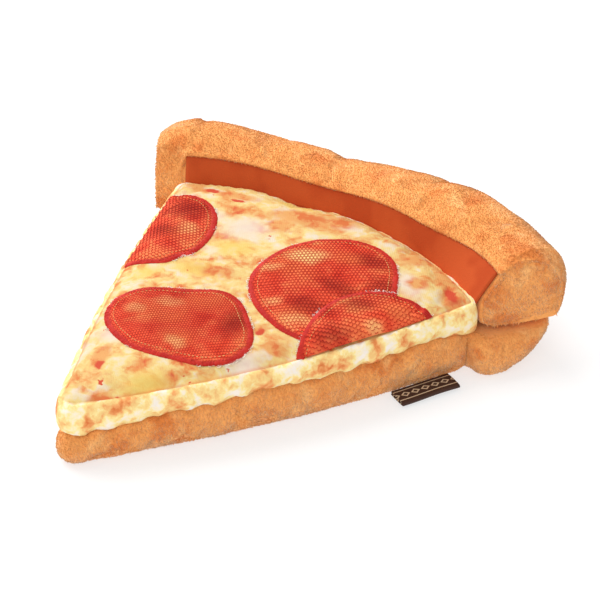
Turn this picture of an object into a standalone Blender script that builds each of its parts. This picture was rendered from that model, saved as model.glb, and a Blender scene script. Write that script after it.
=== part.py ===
"""A stuffed plush toy in the shape of a pizza slice, modelled at its real size.

Plan positions are given along and beside the slice's two straight sides, or in polar form about the
virtual apex where the sides meet. Lengths in the constants are millimetres; the scene is in metres.
"""

import math

import bmesh
import bpy
from mathutils import Vector

MM = 0.001

# Plan of the slice
HALF_ANGLE = math.radians(26.9)
SIDE_LENGTH = 172.5  # apex to the back edge of the cheese, midway between the two corners
SIDE_SKEW = 2.5  # the right corner is this much further out than the middle, the left one nearer
BACK_BOW = 3.0  # extra reach of the back edge at its middle
# How far the right (1) and left (-1) sides stand out from straight: all along, and extra at the middle
CHEESE_SIDES = {1: (2.0, 9.5), -1: (2.4, 4.4)}
BASE_SIDES = {1: (3.0, 5.8), -1: (2.8, 4.4)}
TIP_RADIUS = 7.0
SIDE_START = 16.0  # the tip's arc has to fit before the first point of each side
CORNER_RADIUS = 4.0
APEX_TO_CENTRE = (1.1, 105.3)  # from the apex to the middle of the toy's outline

# Heights
BASE_TOP = 17.2  # seam between the plush base and the printed cheese layer
LAYER_GAP = 0.3
CHEESE_EDGE_AT_TIP = 28.0
CHEESE_EDGE_RISE = 4.2  # the top seam climbs this much from the apex to the back corners
CHEESE_PUFF = 3.2
PUFF_REACH = 10.0  # distance from a seam over which the top panel swells
SAUCE_FOOT = 31.0
SAUCE_SEEN = 33.4  # the band's own cloth starts here, just above the edge of the cheese
SAUCE_HEAD = 42.6
SAUCE_THICKNESS = 1.3
SAUCE_FRONT = 0.9  # the band's foot stands this far out from the cheese's back edge
SAUCE_LEAN = 2.5  # and its head this much further

# Crust roll, in distance out from the cheese's back edge and height
ROLL_FRONT = 1.8
ROLL_BOTTOM = 14.9
ROLL_HALF_DEPTH = 18.6
ROLL_HALF_HEIGHT = 19.6
ROLL_FULLNESS = 2.25  # superellipse exponent, 2 being a plain ellipse
ROLL_SLIMMER = 0.22  # share of its size that the roll loses where it is slimmest, left of the middle
ROLL_SLIM_AT = math.radians(-7.0)
ROLL_SLIM_REACH = {1: math.radians(16.0), -1: math.radians(24.0)}  # to the right and to the left of there
SAUCE_DIP = 2.6  # the roll sags over the band here, left of the middle
SAUCE_DIP_AT = math.radians(-12.0)
SAUCE_DIP_WIDTH = math.radians(6.0)
ROLL_END_ROUND = 5.0  # the roll rounds over by this much before the seam of its end panel
END_PANEL_SCALE = 0.9
END_PANEL_BULGES = {1: 8.0, -1: 10.0}

# Plush base below the crust
LOBE_OUT = 11.5
LOBE_FRONT = 170.5
NOTCH_OUT = 1.5
BASE_BACK = 29.0
LOBE_FRONT_RADIUS = 8.0
LOBE_BACK_RADIUS = 17.0

# Pepperoni patches, as rounds of a mean radius: how oval each is and how three-cornered, as a share of
# the radius and the direction that the swelling points in
PEPPERONI = {
    1: {"centre": (-56.5, 112.5), "radius": 27.6, "oval": (0.11, 94), "corners": (0.04, -14)},
    2: {"centre": (1.8, 67.0), "radius": 28.3, "oval": (0.115, 2), "corners": (0.08, -27)},
    3: {"centre": (28.2, 121.2), "radius": 34.2, "oval": (0.12, -48), "corners": (0.06, -38)},
    4: {"centre": (68.0, 103.2), "radius": 31.6, "oval": (0.107, -66), "corners": (0.05, 5)},
}
PATCH_THICKNESS = 0.8
PATCH_LIFT = 0.35
RIM_WIDTH = 3.3
RIM_HEIGHT = 1.5
OVERLAP_GAP = 0.9  # pepperoni 3 stops this far short of pepperoni 4, which lies over it
SEAM_MARGIN = 2.6  # patches and rims that run into a side seam stop this far inside the outline

# Folded side label
LABEL_FROM = 134.6
LABEL_WIDTH = 26.5
LABEL_REACH = 9.6
LABEL_ROOT_INSET = 1.1  # the tape starts this far inside the base's outline, in the tuck of its seam
LABEL_HEIGHT = 1.7
LABEL_CLOTH = 0.5
LABEL_SLOT = 0.5
LABEL_TURN = math.radians(-6.5)  # it follows the bowed side

# How finely curved shapes are divided
OUTLINE_STEP = 6.5
ROLL_RINGS = 22
ROLL_SECTION_STEPS = 26
PATCH_STEPS = 36
RIM_STEPS = 44

PLUSH = ("tan_plush", (0.80, 0.42, 0.16, 1.0), 0.95)
PRINT = ("printed_cheese_cloth", (0.93, 0.72, 0.38, 1.0), 0.8)
SAUCE = ("rust_velour", (0.60, 0.14, 0.04, 1.0), 0.85)
MESH = ("pepperoni_mesh_cloth", (0.66, 0.10, 0.05, 1.0), 0.6)
THREAD = ("red_satin_stitch", (0.76, 0.06, 0.04, 1.0), 0.5)
TAPE = ("brown_woven_tape", (0.06, 0.03, 0.02, 1.0), 0.7)


def clear_scene():
    for obj in list(bpy.data.objects):
        bpy.data.objects.remove(obj)


def material(finish):
    """The Principled material of a finish, made once and shared."""
    name, colour, roughness = finish
    found = bpy.data.materials.get(name)
    if found:
        return found
    made = bpy.data.materials.new(name)
    made.use_nodes = True
    shader = made.node_tree.nodes["Principled BSDF"]
    shader.inputs["Base Color"].default_value = colour
    shader.inputs["Roughness"].default_value = roughness
    shader.inputs["Metallic"].default_value = 0.0
    return made


def to_scene(point):
    """A millimetre point of the apex frame as metres about the middle of the toy's footprint."""
    return Vector((point.x - APEX_TO_CENTRE[0], point.y - APEX_TO_CENTRE[1], point.z)) * MM


def add_object(name, mesh, finish):
    """Closes a bmesh into a named object with outward faces, smooth shading and its material."""
    bmesh.ops.recalc_face_normals(mesh, faces=mesh.faces)
    data = bpy.data.meshes.new(name)
    mesh.to_mesh(data)
    mesh.free()
    data.materials.append(material(finish))
    data.shade_smooth()
    data.set_sharp_from_angle(angle=math.radians(50))
    obj = bpy.data.objects.new(name, data)
    bpy.context.scene.collection.objects.link(obj)
    return obj


def loft(name, rings, finish):
    """A solid skinned over a stack of rings. An end ring of one point is a pole, others are capped."""
    mesh = bmesh.new()
    loops = [[mesh.verts.new(to_scene(p)) for p in ring] for ring in rings]
    for first, second in zip(loops, loops[1:]):
        count = max(len(first), len(second))
        for i in range(count):
            j = (i + 1) % count
            if len(second) == 1:
                mesh.faces.new((first[i], first[j], second[0]))
            elif len(first) == 1:
                mesh.faces.new((first[0], second[j], second[i]))
            else:
                mesh.faces.new((first[i], first[j], second[j], second[i]))
    for loop in (loops[0], loops[-1]):
        if len(loop) > 1:
            mesh.faces.new(loop)
    return add_object(name, mesh, finish)


def lifted(plan, height):
    """Plan points as 3-D points at a height, which is a number or a function of the plan point."""
    return [Vector((p.x, p.y, height(p) if callable(height) else height)) for p in plan]


def side_point(along, out, side):
    """The plan point a distance along the right (1) or left (-1) side and a distance outside it."""
    x = along * math.sin(HALF_ANGLE) + out * math.cos(HALF_ANGLE)
    y = along * math.cos(HALF_ANGLE) - out * math.sin(HALF_ANGLE)
    return Vector((side * x, y))


def polar_point(radius, angle):
    return Vector((radius * math.sin(angle), radius * math.cos(angle)))


def back_radius(angle):
    """Distance from the apex to the back edge of the cheese, at an angle from the slice's midline."""
    share = angle / HALF_ANGLE
    return SIDE_LENGTH + SIDE_SKEW * share + BACK_BOW * (1 - share * share)


def side_bow(along, side, sides):
    """How far a stuffed side stands outside the straight line from apex to corner."""
    share = min(max(along / back_radius(side * HALF_ANGLE), 0.0), 1.0)
    offset, bow = sides[side]
    return offset + bow * 4 * share * (1 - share)


def tip_corner(sides):
    """Where the two sides would meet at the tip, each moved out by its own offset."""
    right, left = sides[1][0], sides[-1][0]
    across = (right - left) / (2 * math.cos(HALF_ANGLE))
    return Vector((across, -(right + left) / (2 * math.sin(HALF_ANGLE))))


def turned(vector, turn):
    cosine, sine = math.cos(turn), math.sin(turn)
    return Vector((vector.x * cosine - vector.y * sine, vector.x * sine + vector.y * cosine))


def with_round_corners(corners, steps=6):
    """A closed outline through corners (point, radius), with an arc in place of each that has a radius."""
    outline = []
    for i, (point, radius) in enumerate(corners):
        before = (corners[i - 1][0] - point).normalized()
        after = (corners[(i + 1) % len(corners)][0] - point).normalized()
        half_turn = math.acos(max(-1.0, min(1.0, before.dot(after)))) / 2
        if radius == 0 or half_turn > math.radians(85):
            outline.append(point)
            continue
        centre = point + (before + after).normalized() * radius / math.sin(half_turn)
        reach = radius / math.tan(half_turn)
        start = point + before * reach - centre
        sweep = start.angle_signed(point + after * reach - centre)
        for k in range(steps + 1):
            turn = -sweep * k / steps
            outline.append(centre + turned(start, turn))
    return outline


def even_steps(first, last, step):
    count = max(1, round(abs(last - first) / step))
    return [first + (last - first) * i / count for i in range(count + 1)]


def cheese_outline():
    """Plan of the printed layer: left corner, left side, round tip, right side, right corner, back arc."""
    corners = []
    for side in (-1, 1):
        last = back_radius(side * HALF_ANGLE)
        alongs = even_steps(SIDE_START, last - 2 * OUTLINE_STEP, OUTLINE_STEP)
        points = [(side_point(a, side_bow(a, side, CHEESE_SIDES), side), 0) for a in alongs]
        points.append((side_point(last - LAYER_GAP, CHEESE_SIDES[side][0], side), CORNER_RADIUS))
        corners += reversed(points) if side < 0 else [(tip_corner(CHEESE_SIDES), TIP_RADIUS), *points]
    inset = math.radians(3.5)
    for angle in even_steps(HALF_ANGLE - inset, inset - HALF_ANGLE, math.radians(2.3)):
        corners.append((polar_point(back_radius(angle) - LAYER_GAP, angle), 0))
    return with_round_corners(corners)


def base_outline():
    """Plan of the plush base: the slice, with a lobe at each end of the crust that starts at a notch."""
    right, left = [], []
    for side, corners in ((1, right), (-1, left)):
        for along in even_steps(SIDE_START, LOBE_FRONT - 4.0, OUTLINE_STEP):
            corners.append((side_point(along, side_bow(along, side, BASE_SIDES), side), 0))
        back = back_radius(side * HALF_ANGLE) + BASE_BACK
        corners.append((side_point(LOBE_FRONT, NOTCH_OUT, side), 0))
        corners.append((side_point(LOBE_FRONT + 0.6, LOBE_OUT, side), LOBE_FRONT_RADIUS))
        corners.append((side_point(back - 1.0, LOBE_OUT, side), LOBE_BACK_RADIUS))
    inset = math.radians(5.0)
    back_arc = [
        (polar_point(back_radius(angle) + BASE_BACK, angle), 0)
        for angle in even_steps(HALF_ANGLE - inset, inset - HALF_ANGLE, math.radians(2.3))
    ]
    return with_round_corners([(tip_corner(BASE_SIDES), TIP_RADIUS), *right, *back_arc, *reversed(left)])


def inset_outline(outline, distance):
    """The closed outline moved inwards, each point along the mean normal of its two edges."""
    middle = sum(outline, Vector((0, 0))) / len(outline)
    moved = []
    for i, point in enumerate(outline):
        run = (outline[(i + 1) % len(outline)] - outline[i - 1]).normalized()
        inward = Vector((-run.y, run.x))
        if inward.dot(middle - point) < 0 and point.y < 0.9 * SIDE_LENGTH * math.cos(HALF_ANGLE):
            inward = -inward
        moved.append(point + inward * distance)
    return moved


def cheese_edge_height(point):
    return CHEESE_EDGE_AT_TIP + CHEESE_EDGE_RISE * point.length / SIDE_LENGTH


def distance_inside(point):
    """Distance from a plan point to the nearest seam of the cheese's top panel."""
    angle = math.atan2(point.x, point.y)
    distances = [back_radius(angle) - point.length]
    for side in (-1, 1):
        along = side * point.x * math.sin(HALF_ANGLE) + point.y * math.cos(HALF_ANGLE)
        out = side * point.x * math.cos(HALF_ANGLE) - point.y * math.sin(HALF_ANGLE)
        distances.append(side_bow(along, side, CHEESE_SIDES) - out)
    return max(0.0, min(distances))


def cheese_top(point):
    """Height of the puffed top panel above a plan point."""
    swell = 1 - math.exp(-distance_inside(point) / PUFF_REACH)
    return cheese_edge_height(point) + CHEESE_PUFF * swell


def build_base():
    # Each pair is how far the wall is drawn in, and the height there
    wall = [(5.5, 0.0), (2.6, 0.9), (0.8, 3.4), (0.0, 8.0), (0.7, 12.8), (2.6, 16.2), (4.2, BASE_TOP)]
    outline = base_outline()
    rings = [lifted(inset_outline(outline, inset), height) for inset, height in wall]
    return loft("plush_base", rings, PLUSH)


def build_cheese():
    outline = cheese_outline()
    foot = BASE_TOP + LAYER_GAP
    rings = [
        lifted(inset_outline(outline, 3.4), foot),
        lifted(inset_outline(outline, 1.4), foot + 1.0),
        lifted(inset_outline(outline, 0.1), foot + 4.2),
        lifted(inset_outline(outline, 0.4), lambda p: cheese_edge_height(p) - 3.4),
        lifted(inset_outline(outline, 2.2), lambda p: cheese_edge_height(p) + 0.3),
    ]
    middle = Vector((0.0, 0.66 * SIDE_LENGTH))
    rim = inset_outline(outline, 3.2)
    for scale in (1.0, 0.93, 0.84, 0.72, 0.56, 0.38, 0.19):
        rings.append(lifted([middle + (p - middle) * scale for p in rim], cheese_top))
    rings.append(lifted([middle], cheese_top))
    return loft("cheese_layer", rings, PRINT)


def roll_size(angle):
    """The roll's size at an angle, as a share of its size at the right end."""
    away = angle - ROLL_SLIM_AT
    reach = ROLL_SLIM_REACH[1 if away > 0 else -1]
    return 1 - ROLL_SLIMMER * math.exp(-((away / reach) ** 2))


def sauce_head(angle):
    """Height of the upper edge of the sauce band at an angle."""
    return SAUCE_HEAD - SAUCE_DIP * math.exp(-(((angle - SAUCE_DIP_AT) / SAUCE_DIP_WIDTH) ** 2))


def roll_section(angle):
    """Crust section at an angle: points of distance out from the cheese's edge and height, in order."""
    foot = BASE_TOP + LAYER_GAP
    head = sauce_head(angle)
    size = roll_size(angle)
    depth, height = ROLL_HALF_DEPTH * size, ROLL_HALF_HEIGHT * size
    centre_out, centre_up = ROLL_FRONT + depth, ROLL_BOTTOM + height
    points = [(SAUCE_FRONT, foot), (SAUCE_FRONT, 24.0), (SAUCE_FRONT, SAUCE_FOOT)]
    points.append((SAUCE_FRONT + SAUCE_LEAN, head))
    power = 2 / ROLL_FULLNESS
    first_turn = math.pi - math.asin(((head + 0.7 - centre_up) / height) ** (1 / power))
    last_turn = math.radians(-52)
    steps = ROLL_SECTION_STEPS - len(points)
    for k in range(steps + 1):
        turn = first_turn + (last_turn - first_turn) * k / steps
        out = math.copysign(abs(math.cos(turn)) ** power, math.cos(turn))
        up = math.copysign(abs(math.sin(turn)) ** power, math.sin(turn))
        points.append((centre_out + depth * out, max(foot, centre_up + height * up)))
    return points


def roll_ring(angle, shift, scale):
    """A ring of the crust at an angle. Past an end, shift moves it off the side and scale shrinks it."""
    middle_out = 0.85 * (ROLL_FRONT + ROLL_HALF_DEPTH * roll_size(angle))
    middle_up = ROLL_BOTTOM + ROLL_HALF_HEIGHT * roll_size(angle) + 0.8
    side = 1 if angle > 0 else -1
    ring = []
    for out, up in roll_section(angle):
        out = middle_out + (out - middle_out) * scale
        up = middle_up + (up - middle_up) * scale
        if shift == 0:
            plan = polar_point(back_radius(angle) + out, angle)
        else:
            plan = side_point(back_radius(angle) + out, shift, side)
        ring.append(Vector((plan.x, plan.y, up)))
    return ring


def build_crust():
    ends = [(0.6 * ROLL_END_ROUND, 0.975), (ROLL_END_ROUND, END_PANEL_SCALE)]
    rings = [roll_ring(-HALF_ANGLE, shift, scale) for shift, scale in reversed(ends)]
    for k in range(ROLL_RINGS + 1):
        rings.append(roll_ring(HALF_ANGLE * (2 * k / ROLL_RINGS - 1), 0, 1.0))
    rings += [roll_ring(HALF_ANGLE, shift, scale) for shift, scale in ends]
    return loft("crust_roll", rings, PLUSH)


def build_crust_end(side):
    """The puffed panel that closes one end of the crust roll."""
    seam = ROLL_END_ROUND + LAYER_GAP
    rings = []
    for scale, share in ((0.94, 0.0), (1.0, 0.22), (0.93, 0.55), (0.76, 0.8), (0.5, 0.94), (0.24, 0.99)):
        shift = seam + END_PANEL_BULGES[side] * share
        rings.append(roll_ring(side * HALF_ANGLE, shift, END_PANEL_SCALE * scale))
    pole = roll_ring(side * HALF_ANGLE, seam + END_PANEL_BULGES[side], 0.0)[0]
    rings.append([pole])
    name = "crust_end_right" if side > 0 else "crust_end_left"
    return loft(name, rings, PLUSH)


def build_sauce():
    """The smooth rust-coloured band that faces the crust between the cheese and the roll."""
    margin = math.radians(0.25)
    front, back = LAYER_GAP + SAUCE_THICKNESS, LAYER_GAP
    rings = []
    for k in range(ROLL_RINGS + 1):
        angle = (HALF_ANGLE - margin) * (2 * k / ROLL_RINGS - 1)
        head = sauce_head(angle)
        ring = []
        for up, gap in ((SAUCE_SEEN, front), (head, front), (head, back), (SAUCE_SEEN, back)):
            out = SAUCE_FRONT + SAUCE_LEAN * (up - SAUCE_FOOT) / (head - SAUCE_FOOT) - gap
            plan = polar_point(back_radius(angle) + out, angle)
            ring.append(Vector((plan.x, plan.y, up)))
        rings.append(ring)
    return loft("sauce_band", rings, SAUCE)


def pepperoni_radius(spec, turn):
    """Distance from a pepperoni's centre to its outline at a turn."""
    radius = spec["radius"]
    for (amount, towards), swellings in ((spec["oval"], 2), (spec["corners"], 3)):
        radius += spec["radius"] * amount * math.cos(swellings * (turn - math.radians(towards)))
    return radius


def outline_point(spec, turn, grow):
    """A point of a pepperoni's outline, grown outwards by a distance."""
    reach = pepperoni_radius(spec, turn) + grow
    return Vector(spec["centre"]) + Vector((reach * math.cos(turn), reach * math.sin(turn)))


def inside_pepperoni(spec, point, grow):
    offset = point - Vector(spec["centre"])
    return offset.length < pepperoni_radius(spec, math.atan2(offset.y, offset.x)) + grow


def pepperoni_shows(number, point):
    """Whether a plan point of a pepperoni is on the cheese, and not under the patch that lies over it."""
    if distance_inside(point) < SEAM_MARGIN:
        return False
    return number != 3 or not inside_pepperoni(PEPPERONI[4], point, OVERLAP_GAP)


def reach_from(hub, towards, number):
    """The furthest point from hub towards a point that still shows."""
    if pepperoni_shows(number, towards):
        return towards
    near, far = 0.0, 1.0
    for _ in range(24):
        middle = (near + far) / 2
        if pepperoni_shows(number, hub.lerp(towards, middle)):
            near = middle
        else:
            far = middle
    return hub.lerp(towards, near)


def patch_hub(number):
    """A plan point of a pepperoni from which the whole of its showing outline can be seen."""
    centre = Vector(PEPPERONI[number]["centre"])
    moves = {1: Vector((12, 0)), 2: Vector((0, 0)), 3: Vector((-14, 0)), 4: Vector((-9, 6))}
    return centre + moves[number]


def build_patch(number):
    """The printed cloth of one pepperoni, inside its stitched rim, following the puffed top."""
    spec = PEPPERONI[number]
    hub = patch_hub(number)
    outline = []
    for k in range(PATCH_STEPS):
        towards = outline_point(spec, 2 * math.pi * k / PATCH_STEPS, -RIM_WIDTH - LAYER_GAP)
        outline.append(reach_from(hub, towards, number))
    plans = [[hub]] + [[hub.lerp(p, scale) for p in outline] for scale in (0.34, 0.67, 1.0)]
    rings = [lifted(plan, lambda p: cheese_top(p) + PATCH_LIFT) for plan in plans]
    rings += [lifted(plan, lambda p: cheese_top(p) + PATCH_LIFT + PATCH_THICKNESS) for plan in plans[::-1]]
    return loft(f"pepperoni_{number}", rings, MESH)


def rim_turns(number):
    """The turns round a pepperoni along which its stitched rim shows, and whether they go all round."""
    spec = PEPPERONI[number]

    def shows(turn):
        return all(
            pepperoni_shows(number, outline_point(spec, turn, grow)) for grow in (0.0, -RIM_WIDTH)
        )

    fine = 720
    flags = [shows(2 * math.pi * k / fine) for k in range(fine)]
    if all(flags):
        return [2 * math.pi * k / RIM_STEPS for k in range(RIM_STEPS)], True
    first = next(k for k in range(fine) if flags[k] and not flags[k - 1])
    length = next(n for n in range(1, fine) if not flags[(first + n) % fine]) - 1
    steps = max(8, round(RIM_STEPS * length / fine))
    return [2 * math.pi * (first + length * k / steps) / fine for k in range(steps + 1)], False


def build_rim(number):
    """The raised satin-stitch border of one pepperoni, as a low rounded bead."""
    spec = PEPPERONI[number]
    turns, whole = rim_turns(number)
    profile = [(0.0, 0.0), (0.0, 0.55), (0.22, 1.0), (0.78, 1.0), (1.0, 0.55), (1.0, 0.0)]
    mesh = bmesh.new()
    loops = []
    for turn in turns:
        loop = []
        for across, up in profile:
            plan = outline_point(spec, turn, -RIM_WIDTH * across)
            height = cheese_top(plan) + PATCH_LIFT + RIM_HEIGHT * up
            loop.append(mesh.verts.new(to_scene(Vector((plan.x, plan.y, height)))))
        loops.append(loop)
    pairs = list(zip(loops, loops[1:]))
    if whole:
        pairs.append((loops[-1], loops[0]))
    else:
        mesh.faces.new(loops[0])
        mesh.faces.new(loops[-1])
    count = len(profile)
    for first, second in pairs:
        for i in range(count):
            j = (i + 1) % count
            mesh.faces.new((first[i], first[j], second[j], second[i]))
    return add_object(f"pepperoni_rim_{number}", mesh, THREAD)


def label_section():
    """The folded tape in section: distance out from the root, and height about its middle."""
    outer = LABEL_CLOTH + LABEL_SLOT / 2
    inner = LABEL_SLOT / 2
    fold = LABEL_REACH - outer
    turns = [math.radians(90 - 36 * k) for k in range(6)]
    rounded = [(fold + outer * math.cos(t), outer * math.sin(t)) for t in turns]
    hollow = [(fold + inner * math.cos(t), inner * math.sin(t)) for t in reversed(turns)]
    return [(0.0, outer), *rounded, (0.0, -outer), (0.0, -inner), *hollow, (0.0, inner)]


def build_label():
    """The loop label of woven tape that sticks out of the base's lower seam on the right side."""
    middle_along = LABEL_FROM + LABEL_WIDTH / 2
    root_out = side_bow(middle_along, 1, BASE_SIDES) - LABEL_ROOT_INSET
    rings = []
    for share in (0.0, 0.25, 0.5, 0.75, 1.0):
        along = LABEL_WIDTH * (share - 0.5)
        ring = []
        for out, up in label_section():
            turned_along = along * math.cos(LABEL_TURN) - out * math.sin(LABEL_TURN)
            turned_out = along * math.sin(LABEL_TURN) + out * math.cos(LABEL_TURN)
            plan = side_point(middle_along + turned_along, root_out + turned_out, 1)
            ring.append(Vector((plan.x, plan.y, LABEL_HEIGHT + up)))
        rings.append(ring)
    return loft("side_label", rings, TAPE)


def main():
    clear_scene()
    build_base()
    build_cheese()
    build_crust()
    build_sauce()
    for side in (-1, 1):
        build_crust_end(side)
    for number in PEPPERONI:
        build_patch(number)
        build_rim(number)
    build_label()


main()
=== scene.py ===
import math

import bmesh
import bpy
import numpy as np
from mathutils import Euler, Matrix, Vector
from mathutils.bvhtree import BVHTree
from mathutils.geometry import delaunay_2d_cdt


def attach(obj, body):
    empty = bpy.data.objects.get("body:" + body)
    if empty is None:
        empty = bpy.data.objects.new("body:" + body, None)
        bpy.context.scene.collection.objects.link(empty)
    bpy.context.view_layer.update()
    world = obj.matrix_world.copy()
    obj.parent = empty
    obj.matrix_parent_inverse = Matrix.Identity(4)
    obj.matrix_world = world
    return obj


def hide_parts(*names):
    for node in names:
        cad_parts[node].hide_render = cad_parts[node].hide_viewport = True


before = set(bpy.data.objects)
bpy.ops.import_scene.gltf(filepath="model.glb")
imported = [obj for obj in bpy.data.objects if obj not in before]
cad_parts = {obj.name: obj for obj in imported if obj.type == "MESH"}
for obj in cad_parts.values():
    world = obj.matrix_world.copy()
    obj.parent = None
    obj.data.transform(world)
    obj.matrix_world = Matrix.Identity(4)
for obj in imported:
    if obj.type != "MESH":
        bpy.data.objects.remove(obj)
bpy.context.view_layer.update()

mm = 0.001
print("stage: frame loaded")


# The slice in plan: millimetres from the apex where its straight sides meet, +Y towards the crust
slicePlan = {
    "halfAngle": math.radians(26.9),
    "sideLength": 172.5,
    "sideSkew": 2.5,  # the right corner stands this much further out
    "backBow": 3.0,
    "sideStart": 16.0,  # the tip's arc ends before this far along each side
    "tipRadius": 7.0,
    "cornerRadius": 4.0,
    "apexToMiddle": (1.1, 105.3),
    "outlineStep": 5.0,  # spacing of an outline's points along a side
    "arcStep": 0.04,  # and along the back, in radians
}
seam = {  # the sewn edge of the printed layer on the plush base, cut wavy like melted cheese
    # height of the seam at distances from the apex
    "along": (0.0, 22.0, 40.0, 60.0, 80.0, 97.0, 120.0, 150.0, 172.0),
    "height": (13.2, 15.0, 18.3, 18.2, 20.9, 19.4, 19.6, 21.2, 19.0),
    "waves": [(0.28, 15.5, 0.4), (0.16, 8.3, 2.0)],  # height, length, phase
    "nicks": (0.5, 12.7, 4.0),  # small steps in the cut: height, spacing, sharpness
    "softened": 6.0,  # its heights are averaged this far either way
    "skew": 0.35,  # shifts the waves of one side against the other's
    "underCrust": 17.2,  # level height where the crust covers it
    "coverFrom": 166.0,
    "coverSoftness": 1.5,
}


def inFrame(points):
    # millimetre points of the plan as metres in the part's frame
    middle = np.array([*slicePlan["apexToMiddle"], 0.0])
    return (np.asarray(points, dtype=float) - middle) * mm


def sidePoint(along, out, side):
    half = slicePlan["halfAngle"]
    x = along * math.sin(half) + out * math.cos(half)
    return Vector((side * x, along * math.cos(half) - out * math.sin(half)))


def polarPoint(radius, angle):
    return Vector((radius * math.sin(angle), radius * math.cos(angle)))


def backRadius(angle):
    share = angle / slicePlan["halfAngle"]
    bow = slicePlan["backBow"] * (1 - share * share)
    return slicePlan["sideLength"] + slicePlan["sideSkew"] * share + bow


def sideBow(along, side, sides):
    # how far a stuffed side stands outside the straight line from apex to corner
    share = np.clip(along / backRadius(side * slicePlan["halfAngle"]), 0.0, 1.0)
    offset, bow = sides[side]
    return offset + bow * 4 * share * (1 - share)


def tipCorner(sides):
    right, left = sides[1][0], sides[-1][0]
    half = slicePlan["halfAngle"]
    return Vector(((right - left) / (2 * math.cos(half)), -(right + left) / (2 * math.sin(half))))


def turnedBy(vector, turn):
    cosine, sine = math.cos(turn), math.sin(turn)
    return Vector((vector.x * cosine - vector.y * sine, vector.x * sine + vector.y * cosine))


def roundedOutline(corners, arcSteps=8):
    # a closed outline through (point, radius) corners, with an arc at each that has a radius
    outline = []
    for i, (point, radius) in enumerate(corners):
        before = (corners[i - 1][0] - point).normalized()
        after = (corners[(i + 1) % len(corners)][0] - point).normalized()
        halfTurn = math.acos(max(-1.0, min(1.0, before.dot(after)))) / 2
        if radius == 0 or halfTurn > math.radians(85):
            outline.append(point)
            continue
        centre = point + (before + after).normalized() * radius / math.sin(halfTurn)
        reach = radius / math.tan(halfTurn)
        start = point + before * reach - centre
        sweep = start.angle_signed(point + after * reach - centre)
        outline += [centre + turnedBy(start, -sweep * k / arcSteps) for k in range(arcSteps + 1)]
    return outline


def evenly(outline, spacing, closed=True):
    # the outline again, with points at one even spacing
    ring = np.array([tuple(p) for p in outline] + ([tuple(outline[0])] if closed else []))
    runs = np.concatenate(([0.0], np.cumsum(np.hypot(*np.diff(ring, axis=0).T))))
    at = np.linspace(0, runs[-1], max(3, round(runs[-1] / spacing)), endpoint=not closed)
    return np.column_stack([np.interp(at, runs, ring[:, k]) for k in (0, 1)])


def outwardOf(loop, reach=2):
    # unit plan normals of a closed loop, pointing out of it
    run = np.roll(loop, -reach, axis=0) - np.roll(loop, reach, axis=0)
    normal = np.column_stack([run[:, 1], -run[:, 0]])
    area = np.sum(loop[:, 0] * np.roll(loop[:, 1], -1) - loop[:, 1] * np.roll(loop[:, 0], -1))
    return normal / np.linalg.norm(normal, axis=1)[:, None] * np.sign(area)


def evenSteps(first, last, step):
    count = max(1, round(abs(last - first) / step))
    return [first + (last - first) * i / count for i in range(count + 1)]


def seamHeight(plan):
    # height of the edge between plush and print at plan points, level where the crust covers it
    along = np.hypot(plan[:, 0], plan[:, 1])
    run = along + seam["skew"] * plan[:, 0]
    knots = np.linspace(-seam["softened"], seam["softened"], 13)
    height = sum(np.interp(along + k, seam["along"], seam["height"]) for k in knots) / len(knots)
    height += sum(size * np.sin(2 * np.pi * run / length + phase) for size, length, phase in seam["waves"])
    nick, spacing, sharpness = seam["nicks"]
    height += nick * np.tanh(sharpness * np.sin(2 * np.pi * run / spacing))
    covered = 1 / (1 + np.exp((seam["coverFrom"] - along) / seam["coverSoftness"]))
    return height + (seam["underCrust"] - height) * covered


def meshObject(name, points, faces, outwards=True):
    # points are millimetres in the plan's frame
    data = bpy.data.meshes.new(name)
    data.from_pydata(inFrame(points).tolist(), [], [tuple(int(i) for i in f) for f in faces])
    data.validate()
    if outwards:
        work = bmesh.new()
        work.from_mesh(data)
        bmesh.ops.recalc_face_normals(work, faces=work.faces)
        work.to_mesh(data)
        work.free()
    data.shade_smooth()
    piece = bpy.data.objects.new(name, data)
    bpy.context.scene.collection.objects.link(piece)
    return piece


def pointsOf(piece):
    # a piece's vertices as millimetres in the plan's frame
    flat = np.empty(len(piece.data.vertices) * 3)
    piece.data.vertices.foreach_get("co", flat)
    return flat.reshape(-1, 3) / mm + np.array([*slicePlan["apexToMiddle"], 0.0])


def movePoints(piece, points):
    piece.data.vertices.foreach_set("co", inFrame(points).ravel())
    piece.data.update()


def normalsOf(piece):
    flat = np.empty(len(piece.data.vertices) * 3)
    piece.data.vertex_normals.foreach_get("vector", flat)
    return flat.reshape(-1, 3)


def markPoints(piece, name, values):
    # a number or a vector kept on every vertex
    values = np.asarray(values, dtype=float)
    kind, key = ("FLOAT", "value") if values.ndim == 1 else ("FLOAT_VECTOR", "vector")
    piece.data.attributes.new(name, kind, "POINT").data.foreach_set(key, values.ravel())


def awayFrom(points, loop):
    # distance from plan points to a closed loop's nearest edge
    run = np.roll(loop, -1, axis=0) - loop
    share = np.einsum("pij,ij->pi", points[:, None, :] - loop[None], run) / np.sum(run * run, axis=1)
    nearest = loop + np.clip(share, 0, 1)[:, :, None] * run
    return np.min(np.linalg.norm(points[:, None, :] - nearest, axis=2), axis=1)


def insideOf(points, loop):
    x, y = points[:, 0][:, None], points[:, 1][:, None]
    x0, y0 = loop[:, 0], loop[:, 1]
    x1, y1 = np.roll(x0, -1), np.roll(y0, -1)
    rise = np.where(y1 == y0, 1e-12, y1 - y0)
    crosses = ((y0 > y) != (y1 > y)) & (x < (x1 - x0) * (y - y0) / rise + x0)
    return np.sum(crosses, axis=1) % 2 == 1


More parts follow.
